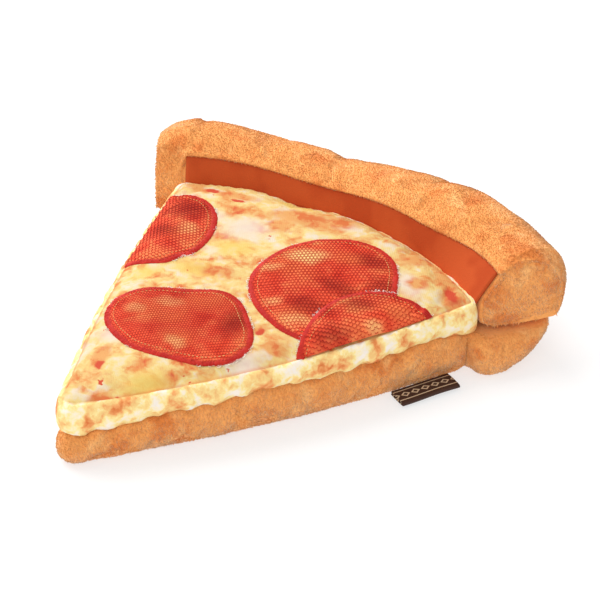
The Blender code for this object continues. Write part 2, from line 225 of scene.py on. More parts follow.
def filledPanel(loop, spacing):
    # a flat panel of even triangles inside a loop: its inner points, and faces over loop + inner points
    low, high = loop.min(axis=0), loop.max(axis=0)
    rowStep, clear = spacing * 0.866, spacing * 0.62  # clear of the loop itself
    rows = np.arange(low[1], high[1], rowStep)
    columns = np.arange(low[0], high[0], spacing)
    inner = np.array([(x + (i % 2) * spacing / 2, y) for i, y in enumerate(rows) for x in columns])
    inner = inner[insideOf(inner, loop)]
    inner = inner[awayFrom(inner, loop) > clear]
    flat = [Vector(p) for p in np.vstack([loop, inner])]
    made = delaunay_2d_cdt(flat, [], [list(range(len(loop)))], 1, 1e-6)
    assert len(made[0]) == len(flat)
    first = {i: origins[0] for i, origins in enumerate(made[3])}
    return inner, [tuple(first[i] for i in face) for face in made[2]]


def loftFaces(ringCount, pointCount, start=0, closed=True):
    faces = []
    for r in range(ringCount - 1):
        for i in range(pointCount if closed else pointCount - 1):
            j = (i + 1) % pointCount
            first, second = start + r * pointCount, start + (r + 1) * pointCount
            faces.append((first + i, first + j, second + j, second + i))
    return faces


def cushion(name, loop, spacing, wall, wallHeight, topHeight, bottomHeight):
    # a closed skin: a bottom panel, rings up the wall, and a filled top panel
    outward = outwardOf(loop)
    rings = [loop - outward * inset for inset, _ in wall]
    points = np.vstack([np.column_stack([ring, wallHeight(ring, up)]) for ring, (_, up) in zip(rings, wall)])
    count = len(loop)
    faces = loftFaces(len(wall), count)
    lastStart = (len(wall) - 1) * count
    for ring, start, heightOf in ((rings[0], 0, bottomHeight), (rings[-1], lastStart, topHeight)):
        inner, triangles = filledPanel(ring, spacing)
        offset = len(points)
        points = np.vstack([points, np.column_stack([inner, heightOf(inner)])])
        faces += [tuple(start + i if i < count else offset + i - count for i in face) for face in triangles]
    return meshObject(name, points, faces)


stuffing = {  # the cloth runs in a copy ten times the size, where the solver's own units suit it
    "scale": 10.0,
    "quality": 5,
    "pressure": 4.0,
    "frames": 20,
    "vertexMass": 0.05,
    "tension": 12.0,
    "bending": 0.4,
}


def stuffed(piece, pinned, cap, slack):
    # cloth under the stuffing's pressure, its seams pinned, no point moved further than the cap (mm)
    scene = bpy.context.scene
    copy = piece.copy()
    copy.data = piece.data.copy()
    scene.collection.objects.link(copy)
    before = pointsOf(piece)
    copy.data.vertices.foreach_set("co", (inFrame(before) * stuffing["scale"]).ravel())
    group = copy.vertex_groups.new(name="seams")
    group.add([int(i) for i in np.flatnonzero(pinned)], 1.0, "REPLACE")
    cloth = copy.modifiers.new("cloth", "CLOTH")
    cloth.settings.quality = stuffing["quality"]
    cloth.settings.mass = stuffing["vertexMass"]
    cloth.settings.tension_stiffness = cloth.settings.compression_stiffness = stuffing["tension"]
    cloth.settings.bending_stiffness = stuffing["bending"]
    cloth.settings.use_pressure = True
    cloth.settings.uniform_pressure_force = stuffing["pressure"]
    cloth.settings.vertex_group_mass = "seams"
    cloth.settings.shrink_min = -slack
    cloth.settings.effector_weights.gravity = 0.0
    cloth.point_cache.frame_start, cloth.point_cache.frame_end = 1, stuffing["frames"]
    for moment in range(1, stuffing["frames"] + 1):
        scene.frame_set(moment)
    held = copy.evaluated_get(bpy.context.evaluated_depsgraph_get())
    flat = np.empty(len(before) * 3)
    held.data.vertices.foreach_get("co", flat)
    after = flat.reshape(-1, 3) / stuffing["scale"] / mm + np.array([*slicePlan["apexToMiddle"], 0.0])
    scene.frame_set(1)
    bpy.data.objects.remove(copy)
    move = after - before
    size = np.linalg.norm(move, axis=1, keepdims=True) + 1e-9
    movePoints(piece, before + move / size * cap * np.tanh(size / cap))
    print("  stuffed", piece.name, "mean", round(float(size.mean()), 2), "most", round(float(size.max()), 2))


def subdivided(piece):
    smooth = piece.modifiers.new("smooth", "SUBSURF")
    smooth.levels = smooth.render_levels = 1
    graph = bpy.context.evaluated_depsgraph_get()
    made = bpy.data.meshes.new_from_object(piece.evaluated_get(graph), depsgraph=graph)
    piece.modifiers.remove(smooth)
    old = piece.data
    piece.data = made
    bpy.data.meshes.remove(old)
    made.shade_smooth()


def ripple(points, waves):
    # a smooth random-looking field made of a few long waves (direction, length in mm, phase)
    total = np.zeros(len(points))
    for direction, length, phase in waves:
        total += np.sin(2 * np.pi * (points @ np.array(direction)) / length + phase)
    return total / len(waves)


base = {
    "sides": {1: (3.0, 5.8), -1: (2.8, 4.4)},  # stand out from straight: all along, and extra at the middle
    "back": 29.0,  # reach of the plush behind the cheese's back edge
    "lobeFront": {1: 170.5, -1: 158.0},  # where the lobe under a crust end begins, along its side
    "lobeOut": 11.5,  # how far it stands outside the straight side
    "lobeRadii": (8.0, 17.0),
    "lobeSkew": (0.6, -1.0),
    "notchOut": 1.5,
    "notchWidth": 4.0,
    "rearCorner": 0.09,  # the rear arc stops this short of the sides, in radians
    "spacing": 2.6,
    # inset, and height as a share of the seam's
    "wall": [
        (5.5, 0.0), (3.2, 0.04), (1.4, 0.14), (0.3, 0.29), (0.0, 0.46), (0.15, 0.62), (0.7, 0.78),
        (1.9, 0.92), (3.9, 0.985),
    ],
    "swell": 2.4,
    "slack": 0.03,
    # size, then waves: direction, length, phase
    "lumps": (0.35, [((0.8, 0.5, 0.6), 31.0, 0.3), ((-0.6, 0.9, 1.2), 19.0, 1.7),
                     ((1.1, -0.3, 0.4), 24.0, 4.0)]),
    # soft dents in the right wall: distance along the side, height, lean of the dent, depth
    "dents": [(97.0, 9.0, 1.1, 1.1), (112.0, 9.5, 1.0, 1.3), (56.0, 8.0, 0.9, 0.5), (140.0, 9.0, 1.2, 0.6)],
    "dentSize": (2.6, 9.0),  # across and along
    "topSink": 0.3,
    "flatBelow": 3.0,  # lumps and dents fade out from this height down to the flat underside
    "rearLean": 8.0,  # behind the lobes the wall leans out to meet the roll
    "leanFrom": 181.0,
    "leanTo": 194.0,
    "leanAbout": 8.5,  # out above this height, and in below it
    "underPile": 0.3,  # the pile under the toy is pressed flat, and fewer tufts stand
}


def baseOutline():
    half = slicePlan["halfAngle"]
    walls = {}
    for side in (1, -1):
        front, rear = base["lobeFront"][side], backRadius(side * half) + base["back"]
        alongs = evenSteps(slicePlan["sideStart"], front - base["notchWidth"], slicePlan["outlineStep"])
        walls[side] = [(sidePoint(a, sideBow(a, side, base["sides"]), side), 0) for a in alongs]
        walls[side].append((sidePoint(front, base["notchOut"], side), 0))
        for end, skew, radius in zip((front, rear), base["lobeSkew"], base["lobeRadii"]):
            walls[side].append((sidePoint(end + skew, base["lobeOut"], side), radius))
    rearHalf = half - base["rearCorner"]
    rearAngles = evenSteps(rearHalf, -rearHalf, slicePlan["arcStep"])
    rearArc = [(polarPoint(backRadius(a) + base["back"], a), 0) for a in rearAngles]
    tip = (tipCorner(base["sides"]), slicePlan["tipRadius"])
    return roundedOutline([tip, *walls[1], *rearArc, *reversed(walls[-1])])


def alongSide(points, side):
    # distance along a straight side and distance outside it, for plan points
    half = slicePlan["halfAngle"]
    x, y = side * points[:, 0], points[:, 1]
    return x * math.sin(half) + y * math.cos(half), x * math.cos(half) - y * math.sin(half)


def buildBase():
    loop = evenly(baseOutline(), base["spacing"])
    piece = cushion(
        "plushBase", loop, base["spacing"], base["wall"], lambda ring, share: seamHeight(ring) * share,
        lambda plan: seamHeight(plan) - base["topSink"], lambda plan: np.zeros(len(plan)),
    )
    points = pointsOf(piece)
    reach = np.hypot(points[:, 0], points[:, 1])
    behind = np.clip((reach - base["leanFrom"]) / (base["leanTo"] - base["leanFrom"]), 0.0, 1.0)
    behind *= behind * (3 - 2 * behind) * base["rearLean"]
    behind *= np.clip(points[:, 2] / base["leanAbout"] - 1, -1, 1)
    points[:, :2] *= (1 + behind / reach)[:, None]
    movePoints(piece, points)
    wallCount = len(base["wall"]) * len(loop)
    pinned = np.ones(len(points), dtype=bool)
    pinned[2 * len(loop):wallCount - len(loop)] = False
    stuffed(piece, pinned, base["swell"], base["slack"])
    points, normals = pointsOf(piece), normalsOf(piece)
    depth = np.zeros(len(points))
    along, out = alongSide(points, 1)
    across, length = base["dentSize"]
    for at, up, lean, deep in base["dents"]:
        u, v = along - at, points[:, 2] - up
        over, down = u * math.cos(lean) - v * math.sin(lean), u * math.sin(lean) + v * math.cos(lean)
        depth += deep * np.exp(-((over / across) ** 2) - ((down / length) ** 2)) * (out > 0)
    size, waves = base["lumps"]
    depth += size * ripple(points, waves)
    depth *= np.clip(points[:, 2] / base["flatBelow"], 0, 1)
    points -= normals * depth[:, None]
    points[:, 2] = np.maximum(points[:, 2], 0.0)
    movePoints(piece, points)
    furry = np.zeros(len(points))
    furry[:wallCount] = 1.0
    furry[wallCount:] = np.where(points[wallCount:, 2] < 1.0, base["underPile"], 0.0)
    markPoints(piece, "furry", furry)
    return piece


plushBase = buildBase()
print("stage: base", len(plushBase.data.vertices))


cheese = {
    "sides": {1: (2.0, 9.5), -1: (2.4, 4.4)},
    "spacing": 2.2,
    "edgeAtTip": 28.0,
    # a sag in the far edge: its place by angle and reach, its width and length, its depth
    "edgeDip": {"angle": math.radians(-8.5), "reach": 174.0, "width": math.radians(4.0), "length": 9.0,
                "depth": 2.4},
    "edgeRise": 4.2,  # the top seam climbs this much from apex to back corners
    "cornerLead": 12.0,
    "backCorner": 0.06,  # the back arc stops this short of the corners, in radians
    "topLift": 0.25,
    "puff": 2.2,
    "puffReach": 10.0,
    "noseReach": 13.0,  # the top seam has no crease this near the tip
    "noseLift": 0.9,
    "topSeam": 2.7,  # the top panel's seam is this far inside the outline
    # inset, and height as a share of the way from foot to top seam
    "wall": [
        (3.4, 0.0), (1.5, 0.03), (0.5, 0.12), (0.05, 0.27), (0.0, 0.45), (0.2, 0.64), (0.7, 0.81),
        (1.3, 0.93), (2.0, 1.0), (2.7, 0.955),
    ],
    "swell": 1.6,
    "slack": 0.035,
    # soft folds of the top panel: start, end, width, height (a negative one is a crease)
    "folds": {
        "across": ((-46.0, 96.0), (4.0, 108.0), 3.2, 0.9),
        "belowAcross": ((-42.0, 91.0), (10.0, 104.0), 2.4, -0.7),
        "rightOfPatch": ((24.0, 60.0), (50.0, 84.0), 1.6, -0.45),
        "nearTip": ((-13.0, 22.0), (-5.0, 42.0), 1.6, -0.6),
        "leftOfPatch": ((-30.0, 66.0), (-24.0, 46.0), 2.2, 0.6),
        "behindPatch": ((-22.0, 152.0), (12.0, 144.0), 3.0, 0.6),
    },
    "lumps": (0.28, [((0.7, 0.6, 0.0), 27.0, 0.9), ((-0.5, 0.9, 0.0), 17.0, 2.2),
                     ((0.9, -0.2, 0.3), 12.0, 5.0)]),
}


def cheeseOutline():
    half = slicePlan["halfAngle"]
    corners = []
    for side in (-1, 1):
        last = backRadius(side * half)
        alongs = evenSteps(slicePlan["sideStart"], last - cheese["cornerLead"], slicePlan["outlineStep"])
        points = [(sidePoint(a, sideBow(a, side, cheese["sides"]), side), 0) for a in alongs]
        points.append((sidePoint(last, cheese["sides"][side][0], side), slicePlan["cornerRadius"]))
        tip = (tipCorner(cheese["sides"]), slicePlan["tipRadius"])
        corners += reversed(points) if side < 0 else [tip, *points]
    backHalf = half - cheese["backCorner"]
    for angle in evenSteps(backHalf, -backHalf, slicePlan["arcStep"]):
        corners.append((polarPoint(backRadius(angle), angle), 0))
    return roundedOutline(corners)


cheeseLoop = evenly(cheeseOutline(), cheese["spacing"])


def cheeseEdge(plan):
    reach, angle = np.hypot(plan[:, 0], plan[:, 1]), np.arctan2(plan[:, 0], plan[:, 1])
    dip = cheese["edgeDip"]
    across, along = (angle - dip["angle"]) / dip["width"], (reach - dip["reach"]) / dip["length"]
    sag = dip["depth"] * np.exp(-across * across - along * along)
    return cheese["edgeAtTip"] + cheese["edgeRise"] * reach / slicePlan["sideLength"] - sag


def cheeseTop(plan):
    inside = np.maximum(0.0, awayFrom(plan, cheeseLoop) - cheese["topSeam"])
    puffed = cheese["puff"] * (1 - np.exp(-inside / cheese["puffReach"]))
    return cheeseEdge(plan) + cheese["topLift"] + puffed


def buildCheese():
    count = len(cheeseLoop)
    piece = cushion(
        "printedCheese", cheeseLoop, cheese["spacing"], cheese["wall"],
        lambda ring, share: seamHeight(ring) + (cheeseEdge(ring) - seamHeight(ring)) * share,
        cheeseTop, seamHeight,
    )
    points = pointsOf(piece)
    wallRows = len(cheese["wall"])
    row = np.full(len(points), wallRows)  # the two panels count as one more row
    row[:wallRows * count] = np.repeat(np.arange(wallRows), count)
    topSeamRow = wallRows - 1
    nose = np.exp(-((np.hypot(points[:, 0], points[:, 1]) / cheese["noseReach"]) ** 4))
    isTop = (row == wallRows) & (points[:, 2] > cheese["edgeAtTip"] - 4.0)
    pinned = (row <= 1) | (row == topSeamRow) | ((row == wallRows) & ~isTop)
    stuffed(piece, pinned, cheese["swell"], cheese["slack"])
    points = pointsOf(piece)
    lift = np.zeros(len(points))
    for start, end, width, height in cheese["folds"].values():
        start, run = np.array(start), np.array(end) - np.array(start)
        share = np.clip((points[:, :2] - start) @ run / (run @ run), 0, 1)
        away = np.linalg.norm(points[:, :2] - start - share[:, None] * run, axis=1)
        lift += height * np.exp(-((away / width) ** 2)) * np.sin(np.pi * np.clip(share, 0.04, 0.96))
    size, waves = cheese["lumps"]
    lift += size * ripple(points, waves)
    points[:, 2] += np.where(isTop, lift, 0.0)
    points[:, 2] += np.where(row == topSeamRow, cheese["noseLift"] * nose, 0.0)
    movePoints(piece, points)
    # seamLine marks the top seam's row, where the print gets a line of painted crease shade
    markPoints(piece, "seamLine", (row == topSeamRow) * (1 - nose))
    markPoints(piece, "strip", ((row >= 1) & (row < topSeamRow)).astype(float))
    return piece


printedCheese = buildCheese()
print("stage: cheese", len(printedCheese.data.vertices))


crust = {
    "front": 1.8,
    "bottom": 14.9,
    "halfDepth": 18.6,
    "halfHeight": 19.6,
    "fullness": 2.25,  # 2 is an oval section, more is squarer
    # the soft edge of pile over the head of the band: further back, and higher
    "lip": [(3.2, 0.1), (2.1, 0.25), (1.6, 0.75), (1.9, 1.35), (3.0, 1.8)],
    "lipHeight": 2.1,
    "lastTurn": math.radians(-52),  # the section runs round to here under the back
    "wallTop": 24.0,
    "slimmer": 0.22,  # share of its size that the roll loses where it is slimmest, left of the middle
    "slimAt": math.radians(-7.0),
    "slimReach": {1: math.radians(16.0), -1: math.radians(24.0)},
    "foot": 17.5,
    "sectionSteps": 48,
    "frontSteps": 11,  # section points from the foot up to the lip's end
    "rings": 76,
    "lower": 0.1,  # share of its height that the roll loses at its right end
    # the roll's ends round over to a raised lip of pile along the seam: distance off the side, scale
    "ends": [(0.8, 0.985), (2.2, 0.962), (3.7, 0.928), (5.2, 0.882), (6.4, 0.832), (7.3, 0.785), (8.1, 0.755),
             (8.3, 0.73), (7.2, 0.712)],
    "endReach": {1: 1.0, -1: 2.0},
    "endShrink": {1: 0.0, -1: 1.4},  # how much more the outermost ring shrinks
    "frontPuff": {1: 0.0, -1: 2.6},  # past the band's end the front fills out, without the lip
    "frontDrop": {1: 0.0, -1: 6.0},  # and its foot hangs this much lower
    "fillOver": 1.5,
    "frontShare": {1: 0.15, -1: 0.85},  # how far the front of an end stands out, of the back's
    "roundOver": (8, 26.0),  # section points from which, and over which, an end rounds over fully
    "roundLess": (38, 10.0, 0.3),  # then a little less under the back
    "leastRound": 0.15,
    "endMiddle": (0.85, 0.8),  # the rings shrink about here: share of the depth, height over the middle
    # the end panel: share of the seam's size, and how far it stands out
    "cap": [(0.95, -1.6), (0.985, -0.6), (0.975, -0.1), (0.93, 0.1), (0.85, 0.2), (0.72, 0.5), (0.56, 1.0),
            (0.38, 1.6), (0.2, 2.0), (0.05, 2.1)],
    "swell": 1.2,
    "capSwell": 0.8,
    "capLumps": 0.3,
    "slack": 0.03,
    "lumps": (0.4, [((0.8, 0.4, 0.5), 36.0, 0.4), ((-0.7, 0.8, 0.9), 23.0, 1.4),
                    ((1.0, -0.4, 0.8), 29.0, 3.3)]),
    # soft hollows in the top of the roll: angle, section share, depth
    "hollows": [(-2.5, 0.34, 1.3), (12.0, 0.3, 1.0), (19.0, 0.42, 0.8), (-17.0, 0.4, 0.8)],
    "hollowSize": (2.6, 0.11),
}
sauce = {
    "foot": 31.0,
    "clothFoot": 28.0,
    "head": 42.6,
    "front": 0.9,  # the band's foot stands this far out from the cheese's back edge
    "lean": 2.5,
    "leanMore": 6.5,  # the band lies further back towards its right end
    "leanFrom": math.radians(11.0),
    "leanTo": math.radians(24.0),
    "thickness": 0.9,
    "dip": 3.4,  # the roll sags over the band here, left of the middle
    "dipAt": math.radians(-7.0),
    "dipWidth": math.radians(9.0),
    "tuck": 0.3,  # the head of the band runs up under the lip
    "clear": 0.35,  # and the band lies this far off the roll
    "sag": (0.35, 0.15, 34.0),  # an even sag, an uneven one, and how often that comes back round the arc
    "grid": (9, 110),
    "endGap": math.radians(0.2),
}


def rollSize(angle):
    away = angle - crust["slimAt"]
    return 1 - crust["slimmer"] * math.exp(-((away / crust["slimReach"][1 if away > 0 else -1]) ** 2))


def sauceHead(angle):
    return sauce["head"] - sauce["dip"] * math.exp(-(((angle - sauce["dipAt"]) / sauce["dipWidth"]) ** 2))


def eased(share):
    share = min(1.0, max(0.0, share))
    return share * share * (3 - 2 * share)


def rightEnd(angle):
    return eased((angle - sauce["leanFrom"]) / (sauce["leanTo"] - sauce["leanFrom"]))


def rollSection(angle):
    # distance out from the cheese's back edge, and height, round the roll from the foot of its front
    head, back = sauceHead(angle), sauce["leanMore"] * rightEnd(angle)
    lean = sauce["lean"] + back
    depth = crust["halfDepth"] * rollSize(angle) - back / 2
    height = crust["halfHeight"] * rollSize(angle) * (1 - crust["lower"] * rightEnd(angle))
    centreOut, centreUp = crust["front"] + back + depth, crust["bottom"] + height
    points = [(sauce["front"], up) for up in (crust["foot"], crust["wallTop"], sauce["foot"])]
    for k in range(1, 4):
        points.append((sauce["front"] + lean * k / 4, sauce["foot"] + (head - sauce["foot"]) * k / 4))
    points += [(back + out, head + up) for out, up in crust["lip"]]
    power = 2 / crust["fullness"]
    firstTurn = math.pi - math.asin(((head + crust["lipHeight"] - centreUp) / height) ** (1 / power))
    count = crust["sectionSteps"] - len(points)
    for k in range(count + 1):
        turn = firstTurn + (crust["lastTurn"] - firstTurn) * k / count
        out = math.copysign(abs(math.cos(turn)) ** power, math.cos(turn))
        up = math.copysign(abs(math.sin(turn)) ** power, math.sin(turn))
        points.append((centreOut + depth * out, max(crust["foot"], centreUp + height * up)))
    return points


def rollRing(angle, shift=0.0, scale=1.0):
    # a ring of the roll, off its side and smaller at an end, where its front hardly rounds over
    side = 1 if angle > 0 else -1
    depthShare, over = crust["endMiddle"]
    middleOut = depthShare * (crust["front"] + crust["halfDepth"] * rollSize(angle))
    middleUp = crust["bottom"] + crust["halfHeight"] * rollSize(angle) + over
    section = rollSection(angle)
    foot, shoulder = section[0], section[crust["frontSteps"]]
    puff, drop = crust["frontPuff"][side], crust["frontDrop"][side]
    filled = eased(shift / crust["fillOver"]) * (puff > 0)
    furthest = max(reach for reach, _ in crust["ends"])
    shrink = (1 - scale) * (1 + crust["endShrink"][side] * (shift / furthest) ** 2)
    roundFrom, roundOver = crust["roundOver"]
    lessFrom, lessOver, less = crust["roundLess"]
    ring = []
    for k, (out, up) in enumerate(section):
        if k < crust["frontSteps"]:
            climb = k / crust["frontSteps"]
            puffed = foot[0] + (shoulder[0] - foot[0]) * climb - puff * math.sin(math.pi * climb)
            straight = foot[1] + (shoulder[1] - foot[1]) * climb
            out += (puffed - out) * filled
            up += (straight - up) * filled - drop * filled * (1 - climb)
        turned = eased((k - roundFrom) / roundOver)
        share = crust["leastRound"] + (1 - crust["leastRound"]) * turned
        share -= less * eased((k - lessFrom) / lessOver)
        stands = crust["frontShare"][side] + (1 - crust["frontShare"][side]) * turned
        size = 1 - shrink * share
        radius = backRadius(angle) + middleOut + (out - middleOut) * size
        away = shift * stands * crust["endReach"][side]
        plan = polarPoint(radius, angle) if shift == 0 else sidePoint(radius, away, side)
        ring.append((plan.x, plan.y, middleUp + (up - middleUp) * size))
    return np.array(ring)


def ringedSkin(name, rings):
    count = len(rings[0])
    faces = loftFaces(len(rings), count)
    faces += [tuple(range(count)), tuple((len(rings) - 1) * count + i for i in range(count))]
    return meshObject(name, np.vstack(rings), faces)


def softLumps(piece, lumps, keepDown):
    points, normals = pointsOf(piece), normalsOf(piece)
    size, waves = lumps
    points -= normals * (size * ripple(points, waves) * keepDown)[:, None]
    movePoints(piece, points)


def buildRoll():
    half = slicePlan["halfAngle"]
    rings = [rollRing(-half, shift, scale) for shift, scale in reversed(crust["ends"])]
    rings += [rollRing(half * (2 * k / crust["rings"] - 1), 0, 1.0) for k in range(crust["rings"] + 1)]
    rings += [rollRing(half, shift, scale) for shift, scale in crust["ends"]]
    piece = ringedSkin("crustRoll", rings)
    count = len(rings[0])
    step = np.tile(np.arange(count), len(rings))
    ring = np.repeat(np.arange(len(rings)), count)
    endRings = len(crust["ends"])
    fixed = (step <= 9) | (step >= count - 3) | (ring < endRings - 1) | (ring > len(rings) - endRings)
    stuffed(piece, fixed, crust["swell"], crust["slack"])
    # lumps and hollows fade out towards the band, the underside and the ends
    free = np.clip((step - 8) / 5.0, 0, 1) * np.clip((count - 3 - step) / 4.0, 0, 1)
    free *= np.clip((ring - endRings + 1) / 5.0, 0, 1) * np.clip((len(rings) - endRings - ring) / 5.0, 0, 1)
    softLumps(piece, crust["lumps"], free)
    points, normals = pointsOf(piece), normalsOf(piece)
    turn = np.degrees(slicePlan["halfAngle"]) * (2 * (ring - endRings) / crust["rings"] - 1)
    depth = np.zeros(len(points))
    for at, share, deep in crust["hollows"]:
        across, around = (turn - at) / crust["hollowSize"][0], (step / count - share) / crust["hollowSize"][1]
        depth += deep * np.exp(-across * across - around * around)
    movePoints(piece, points - normals * (depth * free)[:, None])
    bare = (step < 6) & (ring >= endRings) & (ring < len(rings) - endRings)
    markPoints(piece, "furry", np.where(bare | (step >= count - 2), 0.0, 1.0))
    # the raised lip rings: longer pile there, and its tufts painted lighter as a highlight
    lip = (ring == 1) | (ring == len(rings) - 2)
    markPoints(piece, "ridge", lip.astype(float))
    return piece


def buildCap(side):
    # the end panel: the seam's ring again and again, smaller and further out
    half = side * slicePlan["halfAngle"]
    seamRing = rollRing(half, *crust["ends"][-1])
    middle = seamRing.mean(axis=0)
    outward = np.array([side * math.cos(abs(half)), -math.sin(abs(half)), 0.0])
    rings = [middle + (seamRing - middle) * size + outward * out for size, out in crust["cap"]]
    piece = ringedSkin("crustCapRight" if side > 0 else "crustCapLeft", rings)
    count = len(rings[0])
    ring = np.repeat(np.arange(len(rings)), count)
    stuffed(piece, (ring <= 1), crust["capSwell"], crust["slack"])
    softLumps(piece, (crust["capLumps"], crust["lumps"][1]), (ring > 2).astype(float))
    markPoints(piece, "furry", np.where(ring >= 1, 1.0, 0.0))
    # the cap's lip ring, where the pile is longer and painted lighter as a highlight
    markPoints(piece, "ridge", (ring == 1).astype(float))
    return piece


crustRoll = buildRoll()
crustCaps = {side: buildCap(side) for side in (-1, 1)}
for piece in (crustRoll, *crustCaps.values()):
    subdivided(piece)
print("stage: crust", len(crustRoll.data.vertices))


def buildSauceBand():
    # a strip of velour, its foot tucked behind the cheese
    half = slicePlan["halfAngle"] - sauce["endGap"]
    rows, columns = sauce["grid"]
    even, uneven, often = sauce["sag"]
    points = []
    for c in range(columns + 1):
        angle = half * (2 * c / columns - 1)
        head = sauceHead(angle) + sauce["tuck"]
        lean = sauce["lean"] + sauce["leanMore"] * rightEnd(angle)
        for r in range(rows + 1):
            up = sauce["clothFoot"] + (head - sauce["clothFoot"]) * r / rows
            share = (up - sauce["foot"]) / (head - sauce["foot"])
            sag = (even + uneven * math.sin(angle * often)) * math.sin(math.pi * r / rows)
            out = sauce["front"] + lean * share - sauce["clear"] - sauce["thickness"] / 2 - sag
            plan = polarPoint(backRadius(angle) + out, angle)
            points.append((plan.x, plan.y, up))
    piece = meshObject("sauceBand", points, loftFaces(columns + 1, rows + 1, closed=False), outwards=False)
    wall = piece.modifiers.new("cloth", "SOLIDIFY")
    wall.thickness = sauce["thickness"] * mm
    wall.offset = 0.0
    return piece


sauceBand = buildSauceBand()
print("stage: sauce band")


def colour(hexCode):
    # sRGB hex to linear
    parts = [int(hexCode[i:i + 2], 16) / 255 for i in (1, 3, 5)]
    return tuple(c / 12.92 if c <= 0.04045 else ((c + 0.055) / 1.055) ** 2.4 for c in parts) + (1.0,)


def addNode(tree, kind, settings=None, links=None):
    # a node with its settings, and its inputs set or linked by socket identifier
    node = tree.nodes.new(kind)
    for name, value in (settings or {}).items():
        if name == "stops":
            ramp = node.color_ramp
            while len(ramp.elements) < len(value):
                ramp.elements.new(0.5)
            for element, (place, tint) in zip(ramp.elements, value):
                element.position = place
                element.color = tint
        else:
            setattr(node, name, value)
    for name, value in (links or {}).items():
        socket = next(s for s in node.inputs if s.identifier == name)
        if isinstance(value, bpy.types.NodeSocket):
            tree.links.new(value, socket)
        else:
            socket.default_value = value
    return node


def startMaterial(name, roughness, specular):
    # a Principled material, and its Object coordinates in millimetres
    made = bpy.data.materials.new(name)
    made.use_nodes = True
    tree = made.node_tree
    shader = tree.nodes["Principled BSDF"]
    shader.inputs["Roughness"].default_value = roughness
    shader.inputs["Specular IOR Level"].default_value = specular
    place = addNode(tree, "ShaderNodeTexCoord").outputs["Object"]
    grid = addNode(tree, "ShaderNodeVectorMath", {"operation": "SCALE"}, {"Vector": place, "Scale": 1000.0})
    return made, tree, shader, grid.outputs[0]


def layered(tree, bottom, top, mask):
    # one printed or dyed colour over another where the mask is 1
    mix = addNode(tree, "ShaderNodeMix", {"data_type": "RGBA"},
                  {"Factor_Float": mask, "A_Color": bottom, "B_Color": top})
    return mix.outputs[2]


def patchy(tree, grid, size, low, high, detail=2.0, shift=0.0):
    # a soft-edged mask of blotches about size mm apart, 0 below low and 1 above high
    moved = addNode(tree, "ShaderNodeVectorMath", {"operation": "ADD"},
                    {"Vector": grid, "Vector_001": (shift,) * 3})
    noise = addNode(tree, "ShaderNodeTexNoise", None,
                    {"Vector": moved.outputs[0], "Scale": 1.0 / size, "Detail": detail, "Roughness": 0.55})
    mask = addNode(tree, "ShaderNodeMapRange", {"interpolation_type": "SMOOTHSTEP"},
                   {"Value": noise.outputs[0], "From Min": low, "From Max": high})
    return mask.outputs[0]


def blots(tree, warped, places, softness):
    # a mask of placed blots: plan position, half width and half length in mm, and turn in degrees
    whole = None
    middle = slicePlan["apexToMiddle"]
    faded, full = 1.0 + softness, 1.0 - softness
    for x, y, wide, long, turn in places:
        local = addNode(tree, "ShaderNodeMapping", {"vector_type": "TEXTURE"},
                        {"Vector": warped, "Location": (x - middle[0], y - middle[1], 0.0),
                         "Rotation": (0.0, 0.0, math.radians(turn)), "Scale": (wide, long, 80.0)})
        away = addNode(tree, "ShaderNodeVectorMath", {"operation": "LENGTH"}, {"Vector": local.outputs[0]})
        mask = addNode(tree, "ShaderNodeMapRange", {"interpolation_type": "SMOOTHSTEP"},
                       {"Value": away.outputs["Value"], "From Min": faded, "From Max": full})
        if whole is None:
            whole = mask.outputs[0]
        else:
            whole = addNode(tree, "ShaderNodeMath", {"operation": "MAXIMUM"},
                            {"Value": whole, "Value_001": mask.outputs[0]}).outputs[0]
    return whole


def blotted(tree, ink, warped, spot, dye=None):
    # placed blots printed over an ink, in the spot's own tint or another dye
    places = blots(tree, warped, spot["places"], spot["softness"])
    mask = addNode(tree, "ShaderNodeMath", {"operation": "MULTIPLY"},
                   {"Value": places, "Value_001": spot["strength"]})
    return layered(tree, ink, dye or colour(spot["tint"]), mask.outputs[0])


def warpedBy(tree, grid, size, amount):
    # coordinates pushed about by a noise, for the irregular edge of a painted shape
    noise = addNode(tree, "ShaderNodeTexNoise", None, {"Vector": grid, "Scale": 1.0 / size, "Detail": 3.0})
    centred = addNode(tree, "ShaderNodeVectorMath", {"operation": "SUBTRACT"},
                      {"Vector": noise.outputs["Color"], "Vector_001": (0.5, 0.5, 0.5)})
    push = addNode(tree, "ShaderNodeVectorMath", {"operation": "SCALE"},
                   {"Vector": centred.outputs[0], "Scale": 2.0 * amount})
    moved = addNode(tree, "ShaderNodeVectorMath", {"operation": "ADD"},
                    {"Vector": grid, "Vector_001": push.outputs[0]})
    return moved.outputs[0]


def relief(tree, shader, height, depth, strength=1.0):
    # depth is the real height of the relief in millimetres
    bump = addNode(tree, "ShaderNodeBump", None,
                   {"Height": height, "Distance": depth * mm, "Strength": strength})
    tree.links.new(bump.outputs[0], shader.inputs["Normal"])


# Minky plush: polyester pile of about 1.3 mm, knitted and brushed. It gives a matt, softly glowing
# tan-orange that turns lighter and darker where the pile leans another way.
minky = {
    "light": "#f6b570", "middle": "#f0a259", "dark": "#e1843f", "glow": "#ffdcb4",
    "darker": (13.0, 0.5, 0.68),  # mm between the darker places, where they begin in the noise, where full
    "lighter": (10.4, 0.52, 0.72),
    # the streaks are pile grain, darkened in the partings between tufts as painted shade
    "partingShadeStreak": 1.3,  # mm between the dark streaks where tufts part
    # the tone share also scales the painted highlight that lightens tufts on the seam ridges
    "tintShare": 0.1,  # how much one tuft differs from the next
    "streakShare": 0.24,
    "ground": 0.88,
}


